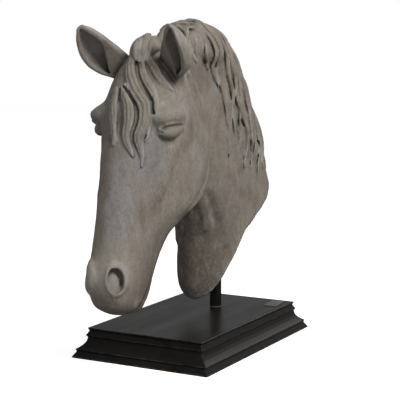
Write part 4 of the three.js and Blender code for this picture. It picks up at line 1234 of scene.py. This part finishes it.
def make_plate():
    low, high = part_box("plaque")
    bottom, top = low[2] / MM, high[2] / MM
    edge, bevel = PLATE_EDGE
    cos, sin = math.cos(PLATE_TURN * RAD), math.sin(PLATE_TURN * RAD)
    rings = []
    for inset, z in ((edge, top), (0, top - bevel), (0, bottom)):
        ring = rounded_rectangle(PLATE_SIZE[0] / 2 - inset, PLATE_SIZE[1] / 2 - inset, PLATE_CORNER)
        turned = np.array(ring) @ np.array([[cos, sin], [-sin, cos]]) + PLATE_PLACE
        rings.append([(x, y, z) for x, y in turned])
    piece = ringed_object("blank_plate", rings)
    set_attribute(piece.data, "wear_and_sheen", np.repeat(PLATE_WEAR, len(rings[0])))
    return piece


def aimed(name, data, place, aim):
    """A light or camera that stands at one place and points at another."""
    made = bpy.data.objects.new(name, data)
    made.location = place
    made.rotation_mode = "QUATERNION"
    made.rotation_quaternion = (Vector(aim) - Vector(place)).to_track_quat("-Z", "Y")
    bpy.context.scene.collection.objects.link(made)
    return made


def add_light(name, place, size, power, colour):
    data = bpy.data.lights.new(name, "AREA")
    data.size = size
    data.energy = power
    data.color = colour
    aimed(name, data, place, LIGHT_AIM)


def make_camera():
    data = bpy.data.cameras.new("camera")
    data.lens = CAMERA_LENS
    data.sensor_width = SENSOR
    bpy.context.scene.camera = aimed("camera", data, CAMERA_PLACE, CAMERA_AIM)


def seen_and_lit(tree, seen, lit, output):
    """Shows the camera one shader and lets the other light the object."""
    path = tree.nodes.new("ShaderNodeLightPath")
    either = tree.nodes.new("ShaderNodeMixShader")
    tree.links.new(path.outputs["Is Camera Ray"], either.inputs["Fac"])
    tree.links.new(lit, either.inputs[1])
    tree.links.new(seen, either.inputs[2])
    tree.links.new(either.outputs["Shader"], output.inputs["Surface"])


def make_stage():
    square = np.array([(-1, -1, 0), (1, -1, 0), (1, 1, 0), (-1, 1, 0)], float)
    floor = new_object("floor", FLOOR_HALF * square, [[0, 1, 2, 3]])
    g = Graph("pale floor", 0.9)
    g.shader.inputs["Base Color"].default_value = FLOOR_COLOUR + (1,)
    g.shader.inputs["Specular IOR Level"].default_value = 0
    g.shader.inputs["Emission Color"].default_value = (1, 1, 1, 1)
    g.shader.inputs["Emission Strength"].default_value = FLOOR_GLOW
    bounce = g.tree.nodes.new("ShaderNodeBsdfDiffuse")
    bounce.inputs["Color"].default_value = FLOOR_BOUNCE + (1,)
    output = g.tree.nodes["Material Output"]
    seen_and_lit(g.tree, g.shader.outputs["BSDF"], bounce.outputs["BSDF"], output)
    floor.data.materials.append(g.material)
    world = bpy.data.worlds.new("studio")
    world.use_nodes = True
    tree = world.node_tree
    shades = []
    for node, strength in (
        (tree.nodes["Background"], WORLD_LIGHT),
        (tree.nodes.new("ShaderNodeBackground"), BACKGROUND),
    ):
        node.inputs["Strength"].default_value = strength
        node.inputs["Color"].default_value = (1, 1, 1, 1)
        shades.append(node.outputs["Background"])
    seen_and_lit(tree, shades[1], shades[0], tree.nodes["World Output"])
    bpy.context.scene.world = world
    bpy.context.scene.view_settings.view_transform = "Standard"
    for light in LIGHTS:
        add_light(*light)


def finish_piece(piece, material, node):
    piece.data.materials.append(material)
    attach(piece, "root")
    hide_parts(node)


make_camera()
make_stage()

sculpture = make_sculpture()
finish_piece(sculpture, stone_material(), "horse_head")

plinth = make_plinth()
finish_piece(plinth, wood_material(), "plinth")

rod = make_rod()
rod.data.shade_smooth()
finish_piece(rod, rod_material(), "rod")

plate = make_plate()
finish_piece(plate, plate_material(), "plaque")
